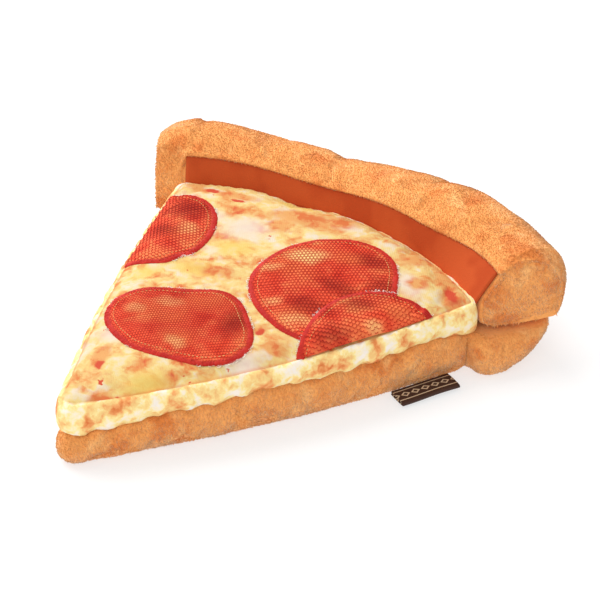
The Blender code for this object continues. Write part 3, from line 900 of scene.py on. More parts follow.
def minkyPlush():
    made, tree, shader, grid = startMaterial("minkyPlush", 0.85, 0.2)
    body = layered(tree, colour(minky["middle"]), colour(minky["dark"]),
                   patchy(tree, warpedBy(tree, grid, 6.0, 3.0), *minky["darker"]))
    body = layered(tree, body, colour(minky["light"]),
                   patchy(tree, warpedBy(tree, grid, 5.0, 2.0), *minky["lighter"], shift=40.0))
    swept = warpedBy(tree, grid, 4.0, 2.0)
    partingShadeStreak = addNode(tree, "ShaderNodeTexNoise", None,
                     {"Vector": swept, "Scale": 1.0 / minky["partingShadeStreak"], "Detail": 2.0})
    # each tuft's random tone, raised on the seam ridges as a painted highlight
    tint = addNode(tree, "ShaderNodeAttribute", {"attribute_name": "tint"})
    shade = addNode(tree, "ShaderNodeMath", {"operation": "MULTIPLY_ADD"},
                    {"Value": tint.outputs["Fac"], "Value_001": minky["tintShare"],
                     "Value_002": minky["ground"]})
    # painted shade: the streak noise darkens the colour where tufts part
    value = addNode(tree, "ShaderNodeMath", {"operation": "MULTIPLY_ADD"},
                    {"Value": partingShadeStreak.outputs[0], "Value_001": minky["streakShare"],
                     "Value_002": shade.outputs[0]})
    final = addNode(tree, "ShaderNodeHueSaturation", None, {"Value": value.outputs[0], "Color": body})
    tree.links.new(final.outputs[0], shader.inputs["Base Color"])
    shader.inputs["Sheen Weight"].default_value = 1.0
    shader.inputs["Sheen Roughness"].default_value = 0.45
    shader.inputs["Sheen Tint"].default_value = colour(minky["glow"])
    relief(tree, shader, partingShadeStreak.outputs[0], 0.5, 0.6)
    return made


# Printed interlock knit: smooth polyester with a transfer print of melted cheese. It gives soft-edged
# watercolour blotches on cream, and hardly any shine. The side strips carry the print in lighter inks as
# painted light, and a darker line of painted shade runs along the top seam's crease.
printed = {
    "size": 11.0,  # mm between blotches
    # the inks, from the palest melted places to the browned ones, and where each begins in the noise
    "wash": [(0.33, "#d0c2ab"), (0.4, "#d1be96"), (0.455, "#d3bb7d"), (0.5, "#d1b16d"),
             (0.54, "#cea56a"), (0.58, "#cb9457"), (0.63, "#c97e45"), (0.69, "#c56536"),
             (0.76, "#b9432a")],
    # the side strips get the print again in lighter inks: painted light, against the darker inks of the top
    # panel
    "sideStripPaintedLightWash": [(0.36, "#f4e9dc"), (0.43, "#f6e6c2"), (0.48, "#f7e09a"), (0.53, "#f3ce86"),
                 (0.57, "#efbf7a"), (0.62, "#ea9f60"), (0.69, "#da7f45"), (0.77, "#d1542e")],
    # line is the colour of painted shade along the crease of the top seam
    "tan": "#cb9256", "brown": "#c26836", "red": "#bb452a", "line": "#c55f2d",
    # noise patches: size in mm, where they begin, where they are full, detail, shift
    "blend": (16.0, 0.45, 0.58, 2.0, 12.0),
    "burnt": (6.0, 0.42, 0.6, 3.0, 5.0),
    "specks": (5.0, 0.68, 0.74, 3.0, 61.0),
    # how strongly the painted crease shade shows
    "seamCreaseShade": 0.45,
    # placed blots: plan x and y, half width, half length, turn
    "golden": {"tint": "#d3b45c", "softness": 0.6, "strength": 0.75, "places": [
        (-18.5, 119.0, 9.0, 6.0, 30), (-20.5, 97.5, 10.0, 4.0, 20), (56.0, 131.0, 7.0, 5.0, 40),
        (17.0, 29.0, 9.0, 6.0, 60), (-22.0, 164.0, 9.0, 4.0, 10), (60.0, 68.0, 10.0, 5.0, 62),
        (36.0, 45.0, 9.0, 5.0, 62), (70.0, 120.0, 8.0, 4.0, 60), (-35.0, 84.0, 7.0, 4.0, 60),
    ]},
    "melted": {"tint": "#d0c0b3", "softness": 0.7, "strength": 0.85, "places": [
        (-25.0, 134.0, 10.0, 8.0, 30), (54.0, 143.0, 9.0, 5.0, -30), (6.0, 163.0, 6.0, 4.0, 0),
        (-44.0, 132.0, 8.0, 4.0, 20), (38.0, 62.0, 7.0, 6.0, 0), (-14.0, 44.0, 6.0, 5.0, 0),
        (-64.0, 138.0, 6.0, 5.0, 0),
    ]},
    "browned": {"tint": "#c26836", "softness": 0.4, "strength": 1.0, "places": [
        (-12.0, 155.0, 15.0, 7.0, 18), (2.0, 163.5, 8.0, 6.0, 30), (-65.5, 148.5, 8.0, 3.2, -8),
        (-46.0, 152.5, 10.0, 3.0, 18), (44.0, 160.0, 5.0, 5.5, 0), (62.5, 157.0, 9.0, 5.0, -35),
        (-12.5, 101.5, 7.0, 2.4, 28), (9.0, 13.0, 5.0, 4.5, 20), (17.5, 3.0, 6.5, 5.0, 60),
        (-26.0, 58.0, 3.0, 9.0, 28), (41.0, 76.0, 4.5, 3.6, 0), (84.0, 141.0, 5.0, 5.0, 0),
        (-8.0, 31.0, 3.0, 7.0, 20), (54.0, 56.0, 3.6, 3.6, 0), (33.0, 36.0, 3.0, 4.6, 40),
        (72.0, 148.0, 9.0, 5.0, -40), (56.0, 146.0, 4.5, 4.5, 0), (78.0, 133.0, 4.0, 3.0, 0),
        (-16.0, 144.5, 6.5, 4.5, -30),
    ]},
    "spots": {"tint": "#bb452a", "softness": 0.25, "strength": 1.0, "places": [
        (30.0, 80.5, 2.2, 3.0, 20), (70.0, 150.0, 6.0, 2.6, -38), (16.0, -2.0, 4.0, 3.0, 50),
        (9.3, -7.0, 2.2, 1.6, 0), (-58.0, 149.5, 4.0, 1.6, 0), (-43.0, 149.0, 4.0, 1.3, 15),
        (-31.0, 62.0, 1.8, 4.5, 25), (56.0, 57.5, 2.2, 1.8, 0), (-4.0, 26.0, 1.5, 3.0, 20),
        (48.0, 165.0, 3.0, 1.8, 0),
    ]},
    "sideBrowned": {"tint": "#c26836", "softness": 0.4, "strength": 1.0, "places": [
        (21.0, 8.0, 5.0, 5.0, 20), (16.0, -2.0, 4.0, 3.0, 50), (52.0, 55.0, 4.0, 3.0, 0),
        (94.0, 137.0, 4.0, 4.0, 0), (28.0, 22.0, 2.5, 2.5, 0), (-20.0, 38.0, 3.0, 6.0, 20),
        (-50.0, 90.0, 3.0, 6.0, 20), (-75.0, 128.0, 3.0, 4.0, 20),
    ]},
}


def washed(tree, grid, size, stops, detail, shift=0.0):
    # a wash of inks that run into one another along the contours of a noise
    moved = addNode(tree, "ShaderNodeVectorMath", {"operation": "ADD"},
                    {"Vector": grid, "Vector_001": (shift,) * 3})
    noise = addNode(tree, "ShaderNodeTexNoise", None,
                    {"Vector": moved.outputs[0], "Scale": 1.0 / size, "Detail": detail, "Roughness": 0.6})
    ramp = addNode(tree, "ShaderNodeValToRGB", {"stops": [(place, colour(ink)) for place, ink in stops]},
                   {"Fac": noise.outputs[0]})
    return ramp.outputs[0]


def cheesePrint():
    made, tree, shader, grid = startMaterial("cheesePrintedKnit", 0.7, 0.15)
    soft = warpedBy(tree, grid, 8.0, 3.4)
    rough = warpedBy(tree, grid, 4.0, 2.2)
    ink = washed(tree, rough, printed["size"], printed["wash"], 4.0)
    other = washed(tree, soft, printed["size"] * 0.6, printed["wash"], 3.0, 71.0)
    ink = layered(tree, ink, other, patchy(tree, soft, *printed["blend"]))
    for spot in ("golden", "melted"):
        ink = blotted(tree, ink, rough, printed[spot])
    burnt = layered(tree, colour(printed["tan"]), colour(printed["brown"]),
                    patchy(tree, rough, *printed["burnt"]))
    ink = blotted(tree, ink, rough, printed["browned"], burnt)
    ink = layered(tree, ink, colour(printed["red"]), patchy(tree, rough, *printed["specks"]))
    ink = blotted(tree, ink, rough, printed["spots"])
    strip = addNode(tree, "ShaderNodeAttribute", {"attribute_name": "strip"}).outputs["Fac"]
    # the side strips' lighter inks are painted light
    side = washed(tree, rough, printed["size"] * 0.8, printed["sideStripPaintedLightWash"], 4.0, 140.0)
    ink = layered(tree, ink, blotted(tree, side, rough, printed["sideBrowned"]), strip)
    # painted shade: a darker line along the crease of the top seam
    seamLine = addNode(tree, "ShaderNodeAttribute", {"attribute_name": "seamLine"}).outputs["Fac"]
    sharp = addNode(tree, "ShaderNodeMapRange", None,
                    {"Value": seamLine, "From Min": 0.55, "From Max": 0.95, "To Max": printed["seamCreaseShade"]})
    ink = layered(tree, ink, colour(printed["line"]), sharp.outputs[0])
    tree.links.new(ink, shader.inputs["Base Color"])
    knit = addNode(tree, "ShaderNodeTexWave", {"wave_type": "BANDS", "bands_direction": "DIAGONAL"},
                   {"Vector": grid, "Scale": 0.55, "Distortion": 1.2, "Detail": 2.0})
    relief(tree, shader, knit.outputs["Fac"], 0.12, 0.35)
    return made


# Velour: short cut pile sheared level. It gives an even, deep rust with a faint glow at grazing angles.
def rustVelour():
    made, tree, shader, grid = startMaterial("rustVelour", 0.85, 0.1)
    # painted shade: a darker dye where a piece stores ends, meant to dim the brighter-lit right end of the
    # band; no piece here stores it, so none shows
    ends = addNode(tree, "ShaderNodeAttribute", {"attribute_name": "ends"}).outputs["Fac"]
    dye = layered(tree, colour("#bc5026"), colour("#b0451f"), patchy(tree, grid, 22.0, 0.42, 0.62))
    dye = layered(tree, dye, colour("#9e3718"), ends)
    tree.links.new(dye, shader.inputs["Base Color"])
    shader.inputs["Sheen Weight"].default_value = 0.1
    shader.inputs["Sheen Tint"].default_value = colour("#ff9060")
    pile = addNode(tree, "ShaderNodeTexNoise", None, {"Vector": grid, "Scale": 1.6, "Detail": 3.0})
    relief(tree, shader, pile.outputs[0], 0.25, 0.5)
    return made


# Pepperoni print: smooth printed cloth under a hexagonal net of the same print, dyed darker. The two together
# give a dark red lattice over brighter red-orange dots, with painted shade in dark red blots and painted
# highlights in cream blots.
pepperoniInk = {
    "size": 11.0,  # mm between blotches
    "wash": [(0.33, "#b1301e"), (0.43, "#bd3b25"), (0.52, "#c3462d"), (0.6, "#c75736"), (0.7, "#ca6c41")],
    # placed blots (the shaded ones are painted shade, the faint and lit ones painted highlights): plan x and
    # y, half width, half length, turn
    "warm": {"tint": "#ca6a3e", "softness": 0.6, "strength": 0.6, "places": [
        (-40.5, 114.0, 8.0, 6.0, 20), (-39.7, 94.2, 7.0, 5.0, 0), (34.0, 95.0, 9.0, 6.0, 10),
        (24.5, 140.5, 9.0, 5.0, 0), (0.8, 80.0, 10.0, 6.0, 30), (8.0, 56.0, 8.0, 6.0, 0),
        (-8.0, 64.0, 12.0, 7.0, 10), (62.0, 125.0, 9.0, 5.0, 40), (61.0, 108.0, 8.0, 6.0, 40),
        (10.0, 122.0, 12.0, 8.0, 0),
    ]},
    "shaded": {"tint": "#7d2015", "softness": 0.6, "strength": 0.6, "places": [
        (-54.3, 129.0, 11.0, 8.0, 10), (-51.0, 110.0, 6.0, 6.0, 0), (19.4, 78.0, 5.0, 10.0, 20),
        (34.3, 104.5, 10.0, 5.0, 10), (36.2, 121.6, 11.0, 4.6, 0), (33.5, 146.0, 8.0, 5.0, 0),
        (49.1, 133.0, 7.0, 7.0, 0), (52.8, 96.0, 8.0, 5.0, 60), (49.2, 117.0, 7.0, 4.0, 30),
    ]},
    # the faint and lit blots are painted highlights in cream
    "faint": {"tint": "#d3b374", "softness": 0.7, "strength": 0.4, "places": [
        (-18.4, 60.4, 4.0, 3.0, 20), (-10.5, 72.2, 5.5, 3.2, 10), (10.0, 53.2, 5.0, 3.0, 0),
        (3.6, 116.4, 4.0, 3.0, 40), (21.1, 97.9, 4.0, 3.0, 30), (36.9, 94.6, 6.0, 3.6, 20),
        (61.4, 111.0, 3.4, 2.4, 40), (-41.8, 117.6, 5.0, 4.0, 0),
    ]},
    "lit": {"tint": "#d3b374", "softness": 0.7, "strength": 0.85, "places": [
        (10.7, 131.6, 7.5, 4.6, 30),
    ]},
}


def pepperoniPrint(name, gain, roughness):
    # cloth and net are the same print in a lighter and a darker dye
    made, tree, shader, grid = startMaterial(name, roughness, 0.05)
    soft = warpedBy(tree, grid, 7.0, 3.4)
    ink = washed(tree, soft, pepperoniInk["size"], pepperoniInk["wash"], 4.0, 33.0)
    for spot in ("warm", "shaded", "faint", "lit"):
        ink = blotted(tree, ink, soft, pepperoniInk[spot])
    final = addNode(tree, "ShaderNodeMix", {"data_type": "RGBA", "blend_type": "MULTIPLY"},
                    {"Factor_Float": 1.0, "A_Color": ink, "B_Color": gain + (1.0,)})
    tree.links.new(final.outputs[2], shader.inputs["Base Color"])
    return made


# Satin stitch: trilobal polyester embroidery thread laid side by side. It gives a bright red rim with a
# silky line of light along each thread.
def satinThread():
    made, tree, shader, grid = startMaterial("redEmbroideryThread", 0.5, 0.2)
    dye = layered(tree, colour("#cb3428"), colour("#bf2a23"), patchy(tree, grid, 6.0, 0.42, 0.6))
    tree.links.new(dye, shader.inputs["Base Color"])
    return made


def plainThread(name, hexes, roughness):
    # spun thread in two close shades
    made, tree, shader, grid = startMaterial(name, roughness, 0.25)
    dye = layered(tree, colour(hexes[0]), colour(hexes[1]), patchy(tree, grid, 3.0, 0.4, 0.6))
    tree.links.new(dye, shader.inputs["Base Color"])
    return made


# Woven tape: dark brown damask with cream yarn brought to the face in a row of small diamonds between two
# border lines. It gives fine ribs and a flat, crisp motif.
labelWeave = {
    "ground": "#4c3228", "groundDark": "#38241c", "cream": "#d8c0a0",
    "pick": 0.42,  # mm between ribs
    "diamond": (2.1, 1.5, 4.6),  # half width, half height, spacing
    "diamondEdges": [(1.08, 0.92), (0.5, 0.62)],  # outer and inner edge, as shares of the diamond
    "border": (1.3, 0.22),  # distance of a line from the face's edges, half width
    "face": 4.15,  # half of the face that shows
}


def wovenTape():
    made, tree, shader, _ = startMaterial("brownWovenTape", 0.6, 0.2)
    tape = addNode(tree, "ShaderNodeAttribute", {"attribute_name": "tape"})  # x along its width, y its length
    split = addNode(tree, "ShaderNodeSeparateXYZ", None, {"Vector": tape.outputs["Vector"]})
    x, y = split.outputs[0], split.outputs[1]
    ribs = addNode(tree, "ShaderNodeMath", {"operation": "MULTIPLY"},
                   {"Value": x, "Value_001": 2 * math.pi / labelWeave["pick"]})
    rib = addNode(tree, "ShaderNodeMath", {"operation": "SINE"}, {"Value": ribs.outputs[0]})
    ground = layered(tree, colour(labelWeave["ground"]), colour(labelWeave["groundDark"]), rib.outputs[0])
    wide, high, spacing = labelWeave["diamond"]
    beat = addNode(tree, "ShaderNodeMath", {"operation": "PINGPONG"}, {"Value": x, "Value_001": spacing / 2})
    across = addNode(tree, "ShaderNodeMath", {"operation": "DIVIDE"},
                     {"Value": beat.outputs[0], "Value_001": wide})
    up = addNode(tree, "ShaderNodeMath", {"operation": "ABSOLUTE"}, {"Value": y})
    tall = addNode(tree, "ShaderNodeMath", {"operation": "DIVIDE"},
                   {"Value": up.outputs[0], "Value_001": high})
    reach = addNode(tree, "ShaderNodeMath", {"operation": "ADD"},
                    {"Value": across.outputs[0], "Value_001": tall.outputs[0]})
    motif, hollow = (
        addNode(tree, "ShaderNodeMapRange", None,
                {"Value": reach.outputs[0], "From Min": none, "From Max": full})
        for none, full in labelWeave["diamondEdges"]
    )
    woven = addNode(tree, "ShaderNodeMath", {"operation": "MULTIPLY"},
                    {"Value": motif.outputs[0], "Value_001": hollow.outputs[0]})
    inset, half = labelWeave["border"]
    lines = addNode(tree, "ShaderNodeMath", {"operation": "COMPARE"},
                    {"Value": up.outputs[0], "Value_001": labelWeave["face"] - inset, "Value_002": half})
    face = addNode(tree, "ShaderNodeMath", {"operation": "MAXIMUM"},
                   {"Value": woven.outputs[0], "Value_001": lines.outputs[0]})
    yarns = layered(tree, ground, colour(labelWeave["cream"]), face.outputs[0])
    tree.links.new(yarns, shader.inputs["Base Color"])
    relief(tree, shader, rib.outputs[0], 0.1, 0.5)
    return made


finishes = {
    "plush": minkyPlush(), "cheese": cheesePrint(), "velour": rustVelour(), "satin": satinThread(),
    "pepperoni": pepperoniPrint("printedPepperoniCloth", (1.45, 1.65, 1.65), 0.7),
    "net": pepperoniPrint("pepperoniNetYarn", (0.72, 0.36, 0.36), 0.5),
    "gold": plainThread("ochreThread", ("#dfb673", "#d19758"), 0.5),
    "white": plainThread("whiteBobbinThread", ("#fbf3ea", "#efe0d2"), 0.6),
    "tape": wovenTape(),
}
print("stage: materials")


def newTree(name, sizes):
    # a Geometry Nodes tree with a geometry input and output and named sizes
    tree = bpy.data.node_groups.new(name, "GeometryNodeTree")
    tree.interface.new_socket("Geometry", in_out="INPUT", socket_type="NodeSocketGeometry")
    for size, value in sizes.items():
        kind = "NodeSocketInt" if isinstance(value, int) else "NodeSocketFloat"
        tree.interface.new_socket(size, in_out="INPUT", socket_type=kind)
    tree.interface.new_socket("Geometry", in_out="OUTPUT", socket_type="NodeSocketGeometry")
    return tree, addNode(tree, "NodeGroupInput").outputs


def finishTree(tree, instances, material):
    real = addNode(tree, "GeometryNodeRealizeInstances", None, {"Geometry": instances})
    smooth = addNode(tree, "GeometryNodeSetShadeSmooth", None, {"Geometry": real.outputs[0]})
    painted = addNode(tree, "GeometryNodeSetMaterial", None,
                      {"Geometry": smooth.outputs[0], "Material": material})
    out = next(item.identifier for item in tree.interface.items_tree if item.in_out == "OUTPUT")
    addNode(tree, "NodeGroupOutput", None, {out: painted.outputs[0]})


def grown(name, source, tree, sizes):
    # what a tree makes on a source object, as a plain mesh object of its own
    modifier = source.modifiers.new("grown", "NODES")
    modifier.node_group = tree
    for item in tree.interface.items_tree:
        if item.in_out == "INPUT" and item.name in sizes:
            modifier[item.identifier] = sizes[item.name]
    graph = bpy.context.evaluated_depsgraph_get()
    made = bpy.data.meshes.new_from_object(source.evaluated_get(graph), depsgraph=graph)
    source.modifiers.remove(modifier)
    piece = bpy.data.objects.new(name, made)
    bpy.context.scene.collection.objects.link(piece)
    print("  grown", name, len(made.polygons), "faces")
    return piece


# Each is a mean round. Its shape says how far it is oval, three- and four-cornered, and in which direction
# each swelling points. Its hub is inside what shows, off its centre. The net of the second has a finer mesh.
pepperoni = {
    1: {"centre": (-56.4, 111.5), "radius": 27.65, "shape": {2: (0.037, 122), 3: (0.027, -31)},
        "hub": (12, 0), "netTurn": 62.0},
    2: {"centre": (2.0, 65.2), "radius": 27.74, "shape": {2: (0.143, 9), 3: (0.046, -31), 4: (0.055, -2)},
        "hub": (0, 0), "netTurn": 48.0, "pitch": 1.12 * mm, "hole": 0.36 * mm, "columns": 66, "rows": 52},
    3: {"centre": (30.5, 119.9), "radius": 33.78, "shape": {2: (0.117, -51), 3: (0.048, -30)},
        "hub": (-14, 0), "netTurn": 42.0},
    4: {"centre": (68.1, 103.7), "radius": 30.89, "shape": {2: (0.086, -88), 3: (0.054, 31)},
        "hub": (-9, 6), "netTurn": 28.0},
}
patch = {
    "spacing": 1.5,
    "cloth": 0.5,
    "lift": 0.3,
    "dome": 0.9,
    "domeReach": 14.0,
    "ripple": 0.16,
    "seamMargin": 2.7,  # the cloth stops this far inside the printed layer's outline
    "rimMargin": 0.6,  # and its rim this much further out
    "rimWidth": 3.3,
    "rimHeight": 0.65,
    "rimTuck": 0.8,
    "satinLift": -0.05,
    "tackingLine": (-0.45, 1.1),  # inside the rim, and height
    "frayLine": (0.35, 0.3),  # outside the rim, and height
    "tuck": 1.3,  # pepperoni 3 runs this far in under the rim of pepperoni 4
    "overlapLift": 0.75,  # how far pepperoni 4 is raised over it
    "overlapFrom": 0.3,
    "overlapSoftness": 0.7,
    "turns": 720,
    "outlineTurns": 240,
}
net = {"pitch": 1.5 * mm, "hole": 0.5 * mm, "stretch": 1.5, "rise": 0.06 * mm, "lift": 0.54 * mm, "turn": 0.0,
       "middleX": 0.0, "middleY": 0.0, "above": 80.0 * mm, "columns": 52, "rows": 40}
satin = {"pitch": 0.5 * mm, "width": 3.3 * mm, "height": 0.8 * mm, "thread": 0.27 * mm, "seed": 3}
tacking = {"pitch": 1.7 * mm, "length": 0.85 * mm, "thread": 0.14 * mm, "seed": 5}
fray = {"pitch": 0.4 * mm, "curl": 0.6 * mm, "thread": 0.09 * mm, "bunch": 70.0, "least": 0.53, "seed": 11}


def pepperoniRadius(spec, turn):
    swell = sum(size * np.cos(n * (turn - math.radians(to))) for n, (size, to) in spec["shape"].items())
    return spec["radius"] * (1 + swell)


def roundPoint(spec, turn, grow):
    reach = pepperoniRadius(spec, turn) + grow
    return np.array(spec["centre"]) + np.column_stack([reach * np.cos(turn), reach * np.sin(turn)])


def depthIn(spec, plan):
    # how far plan points are inside a pepperoni's outline, less than nothing outside it
    offset = plan - np.array(spec["centre"])
    x, y = offset[:, 0], offset[:, 1]
    return pepperoniRadius(spec, np.arctan2(y, x)) - np.hypot(x, y)


def insideSeams(plan):
    return awayFrom(plan, cheeseLoop) * np.where(insideOf(plan, cheeseLoop), 1.0, -1.0)


def shows(number, plan, tuck):
    seen = insideSeams(plan) > patch["seamMargin"]
    if number == 3:
        seen &= depthIn(pepperoni[4], plan) < tuck
    return seen


def clothOutline(number, grow, tuck):
    # the outline of a pepperoni's cloth, stopped at the side seams and under the one that lies over it
    spec = pepperoni[number]
    hub = np.array(spec["centre"]) + np.array(spec["hub"])
    count = patch["outlineTurns"]
    towards = roundPoint(spec, np.linspace(0, 2 * np.pi, count, endpoint=False), grow)
    near, far = np.zeros(count), np.ones(count)
    whole = shows(number, towards, tuck)
    for _ in range(22):
        middle = (near + far) / 2
        seen = shows(number, hub + (towards - hub) * middle[:, None], tuck)
        near, far = np.where(seen, middle, near), np.where(seen, far, middle)
    return evenly(hub + (towards - hub) * np.where(whole, 1.0, near)[:, None], patch["spacing"])


def surfaceOf(piece):
    data = piece.data
    return BVHTree.FromPolygons([v.co for v in data.vertices], [p.vertices for p in data.polygons])


cheeseSkin = surfaceOf(printedCheese)


def onCheese(plan):
    # height (mm) and normal of the printed layer under plan points
    heights, normals = [], []
    for x, y, _ in inFrame(np.column_stack([plan, np.zeros(len(plan))])):
        place, normal, _, _ = cheeseSkin.ray_cast(Vector((x, y, 0.09)), Vector((0, 0, -1)))
        if place is None:
            place, normal, _, _ = cheeseSkin.find_nearest(Vector((x, y, 0.031)))
        heights.append(place.z / mm)
        normals.append(tuple(normal))
    return np.array(heights), np.array(normals)


def overlapRise(number, plan):
    # how far the cloth or rim of pepperoni 4 stands up where it passes over pepperoni 3
    if number != 4:
        return np.zeros(len(plan))
    over = (depthIn(pepperoni[3], plan) - patch["overlapFrom"]) / patch["overlapSoftness"]
    return patch["overlapLift"] / (1 + np.exp(-over))


def buildCloth(number):
    outline = clothOutline(number, -patch["rimWidth"] / 2, patch["tuck"])
    inner, triangles = filledPanel(outline, patch["spacing"])
    plan = np.vstack([outline, inner])
    heights, _ = onCheese(plan)
    edge = np.minimum(awayFrom(plan, outline), patch["domeReach"]) / patch["domeReach"]
    waves = [((0.9, 0.3, 0), 9.0, number), ((-0.4, 0.9, 0), 13.0, 2.0 * number)]
    uneven = patch["ripple"] * edge * ripple(np.column_stack([plan, heights]), waves)
    swell = patch["dome"] * (1 - (1 - edge) ** 2) + uneven
    heights = heights + patch["lift"] + swell + overlapRise(number, plan)
    piece = meshObject(f"pepperoniCloth{number}", np.column_stack([plan, heights]), triangles, False)
    if piece.data.polygons[0].normal.z < 0:
        piece.data.flip_normals()
    piece.data.materials.append(finishes["pepperoni"])
    return piece


def rimTurns(number):
    # the turns along which a rim shows, and whether it goes all the way round
    spec, count = pepperoni[number], patch["turns"]
    turns = np.linspace(0, 2 * np.pi, count, endpoint=False)
    seen = shows(number, roundPoint(spec, turns, -patch["rimWidth"] / 2), patch["rimTuck"])
    seen &= insideSeams(roundPoint(spec, turns, 0.0)) > patch["seamMargin"] - patch["rimMargin"]
    if seen.all():
        return turns, True
    first = next(k for k in range(count) if seen[k] and not seen[k - 1])
    length = next(n for n in range(1, count) if not seen[(first + n) % count])
    return 2 * np.pi * (first + np.arange(length)) / count, False


def lineOn(number, grow, lift):
    # a line round a pepperoni, lying on the print, that keeps the surface's normal on its points
    turns, whole = rimTurns(number)
    plan = evenly(roundPoint(pepperoni[number], turns, grow), 1.0, closed=whole)
    heights, normals = onCheese(plan)
    heights = heights + lift + overlapRise(number, plan)
    count = len(plan)
    data = bpy.data.meshes.new("line")
    links = [(i, (i + 1) % count) for i in range(count if whole else count - 1)]
    data.from_pydata(inFrame(np.column_stack([plan, heights])).tolist(), links, [])
    line = bpy.data.objects.new("line", data)
    bpy.context.scene.collection.objects.link(line)
    markPoints(line, "up", normals)
    return line


def buildRim(number):
    # the padding under the satin stitches: a low bead that follows the outline
    turns, whole = rimTurns(number)
    spec, width, height = pepperoni[number], patch["rimWidth"], patch["rimHeight"]
    turns = turns[::4] if whole else np.append(turns[:-1:4], turns[-1])
    profile = [(0.0, 0.0), (0.02, 0.35), (0.12, 0.72), (0.3, 0.95), (0.5, 1.0), (0.7, 0.95), (0.88, 0.72),
               (0.98, 0.35), (1.0, 0.0), (0.5, -0.05)]
    rings = []
    for across, up in profile:
        plan = roundPoint(spec, turns, -width * across)
        heights, _ = onCheese(plan)
        rings.append(np.column_stack([plan, heights + overlapRise(number, plan) + height * up]))
    points = np.stack(rings, axis=1).reshape(-1, 3)
    count, size = len(turns), len(profile)
    faces = loftFaces(count, size)
    if whole:
        last = (count - 1) * size
        faces += [(last + i, last + (i + 1) % size, (i + 1) % size, i) for i in range(size)]
    else:
        faces += [tuple(range(size)), tuple((count - 1) * size + i for i in range(size))]
    piece = meshObject(f"pepperoniRim{number}", points, faces)
    piece.data.materials.append(finishes["satin"])
    return piece


def dotsAlong(tree, given):
    # points at an even pitch along a line
    line = addNode(tree, "GeometryNodeMeshToCurve", None, {"Mesh": given["Geometry"]})
    return addNode(tree, "GeometryNodeCurveToPoints", {"mode": "LENGTH"},
                   {"Curve": line.outputs[0], "Length": given["pitch"]})


def uprightOn(tree, dots):
    # turns what is laid on a line's points along the line and square to the cloth
    up = addNode(tree, "GeometryNodeInputNamedAttribute", {"data_type": "FLOAT_VECTOR"}, {"Name": "up"})
    along = addNode(tree, "FunctionNodeAlignRotationToVector", {"axis": "X"},
                    {"Vector": dots.outputs["Tangent"]})
    return addNode(tree, "FunctionNodeAlignRotationToVector", {"axis": "Z", "pivot_axis": "X"},
                   {"Rotation": along.outputs[0], "Vector": up.outputs[0]}).outputs[0]


def satinTree():
    # threads laid side by side across a line: each is an arch of round yarn
    tree, given = newTree("satinStitches", satin)
    dots = dotsAlong(tree, given)
    half = addNode(tree, "ShaderNodeMath", {"operation": "MULTIPLY"},
                   {"Value": given["width"], "Value_001": 0.5})
    arch = addNode(tree, "GeometryNodeCurveArc", None,
                   {"Resolution": 7, "Radius": 1.0, "Sweep Angle": math.pi})
    size = addNode(tree, "ShaderNodeCombineXYZ", None, {"X": half.outputs[0], "Y": given["height"], "Z": 1.0})
    sized = addNode(tree, "GeometryNodeTransform", None,
                    {"Geometry": arch.outputs[0], "Scale": size.outputs[0]})
    stood = addNode(tree, "GeometryNodeTransform", None,
                    {"Geometry": sized.outputs[0], "Rotation": Euler((math.pi / 2, 0.0, math.pi / 2))})
    yarn = addNode(tree, "GeometryNodeCurvePrimitiveCircle", None,
                   {"Resolution": 4, "Radius": given["thread"]})
    thread = addNode(tree, "GeometryNodeCurveToMesh", None,
                     {"Curve": stood.outputs[0], "Profile Curve": yarn.outputs[0]})
    jitter = addNode(tree, "FunctionNodeRandomValue", {"data_type": "FLOAT_VECTOR"},
                     {"Min": (0.9, 0.95, 0.88), "Max": (1.1, 1.05, 1.1), "Seed": given["seed"]})
    laid = addNode(tree, "GeometryNodeInstanceOnPoints", None,
                   {"Points": dots.outputs[0], "Instance": thread.outputs[0],
                    "Rotation": uprightOn(tree, dots), "Scale": jitter.outputs[0]})
    finishTree(tree, laid.outputs[0], finishes["satin"])
    return tree


def tackingTree():
    # a running stitch along a line: short straight bars of thread
    tree, given = newTree("runningStitch", tacking)
    dots = dotsAlong(tree, given)
    bar = addNode(tree, "GeometryNodeMeshCone", None,
                  {"Vertices": 5, "Side Segments": 3, "Depth": given["length"],
                   "Radius Top": given["thread"], "Radius Bottom": given["thread"]})
    laidBar = addNode(tree, "GeometryNodeTransform", None,
                      {"Geometry": bar.outputs[0], "Rotation": Euler((0.0, math.pi / 2, 0.0))})
    jitter = addNode(tree, "FunctionNodeRandomValue", {"data_type": "FLOAT_VECTOR"},
                     {"Min": (0.75, 0.8, 0.9), "Max": (1.15, 1.2, 1.1), "Seed": given["seed"]})
    laid = addNode(tree, "GeometryNodeInstanceOnPoints", None,
                   {"Points": dots.outputs[0], "Instance": laidBar.outputs[0],
                    "Rotation": uprightOn(tree, dots), "Scale": jitter.outputs[0]})
    finishTree(tree, laid.outputs[0], finishes["gold"])
    return tree


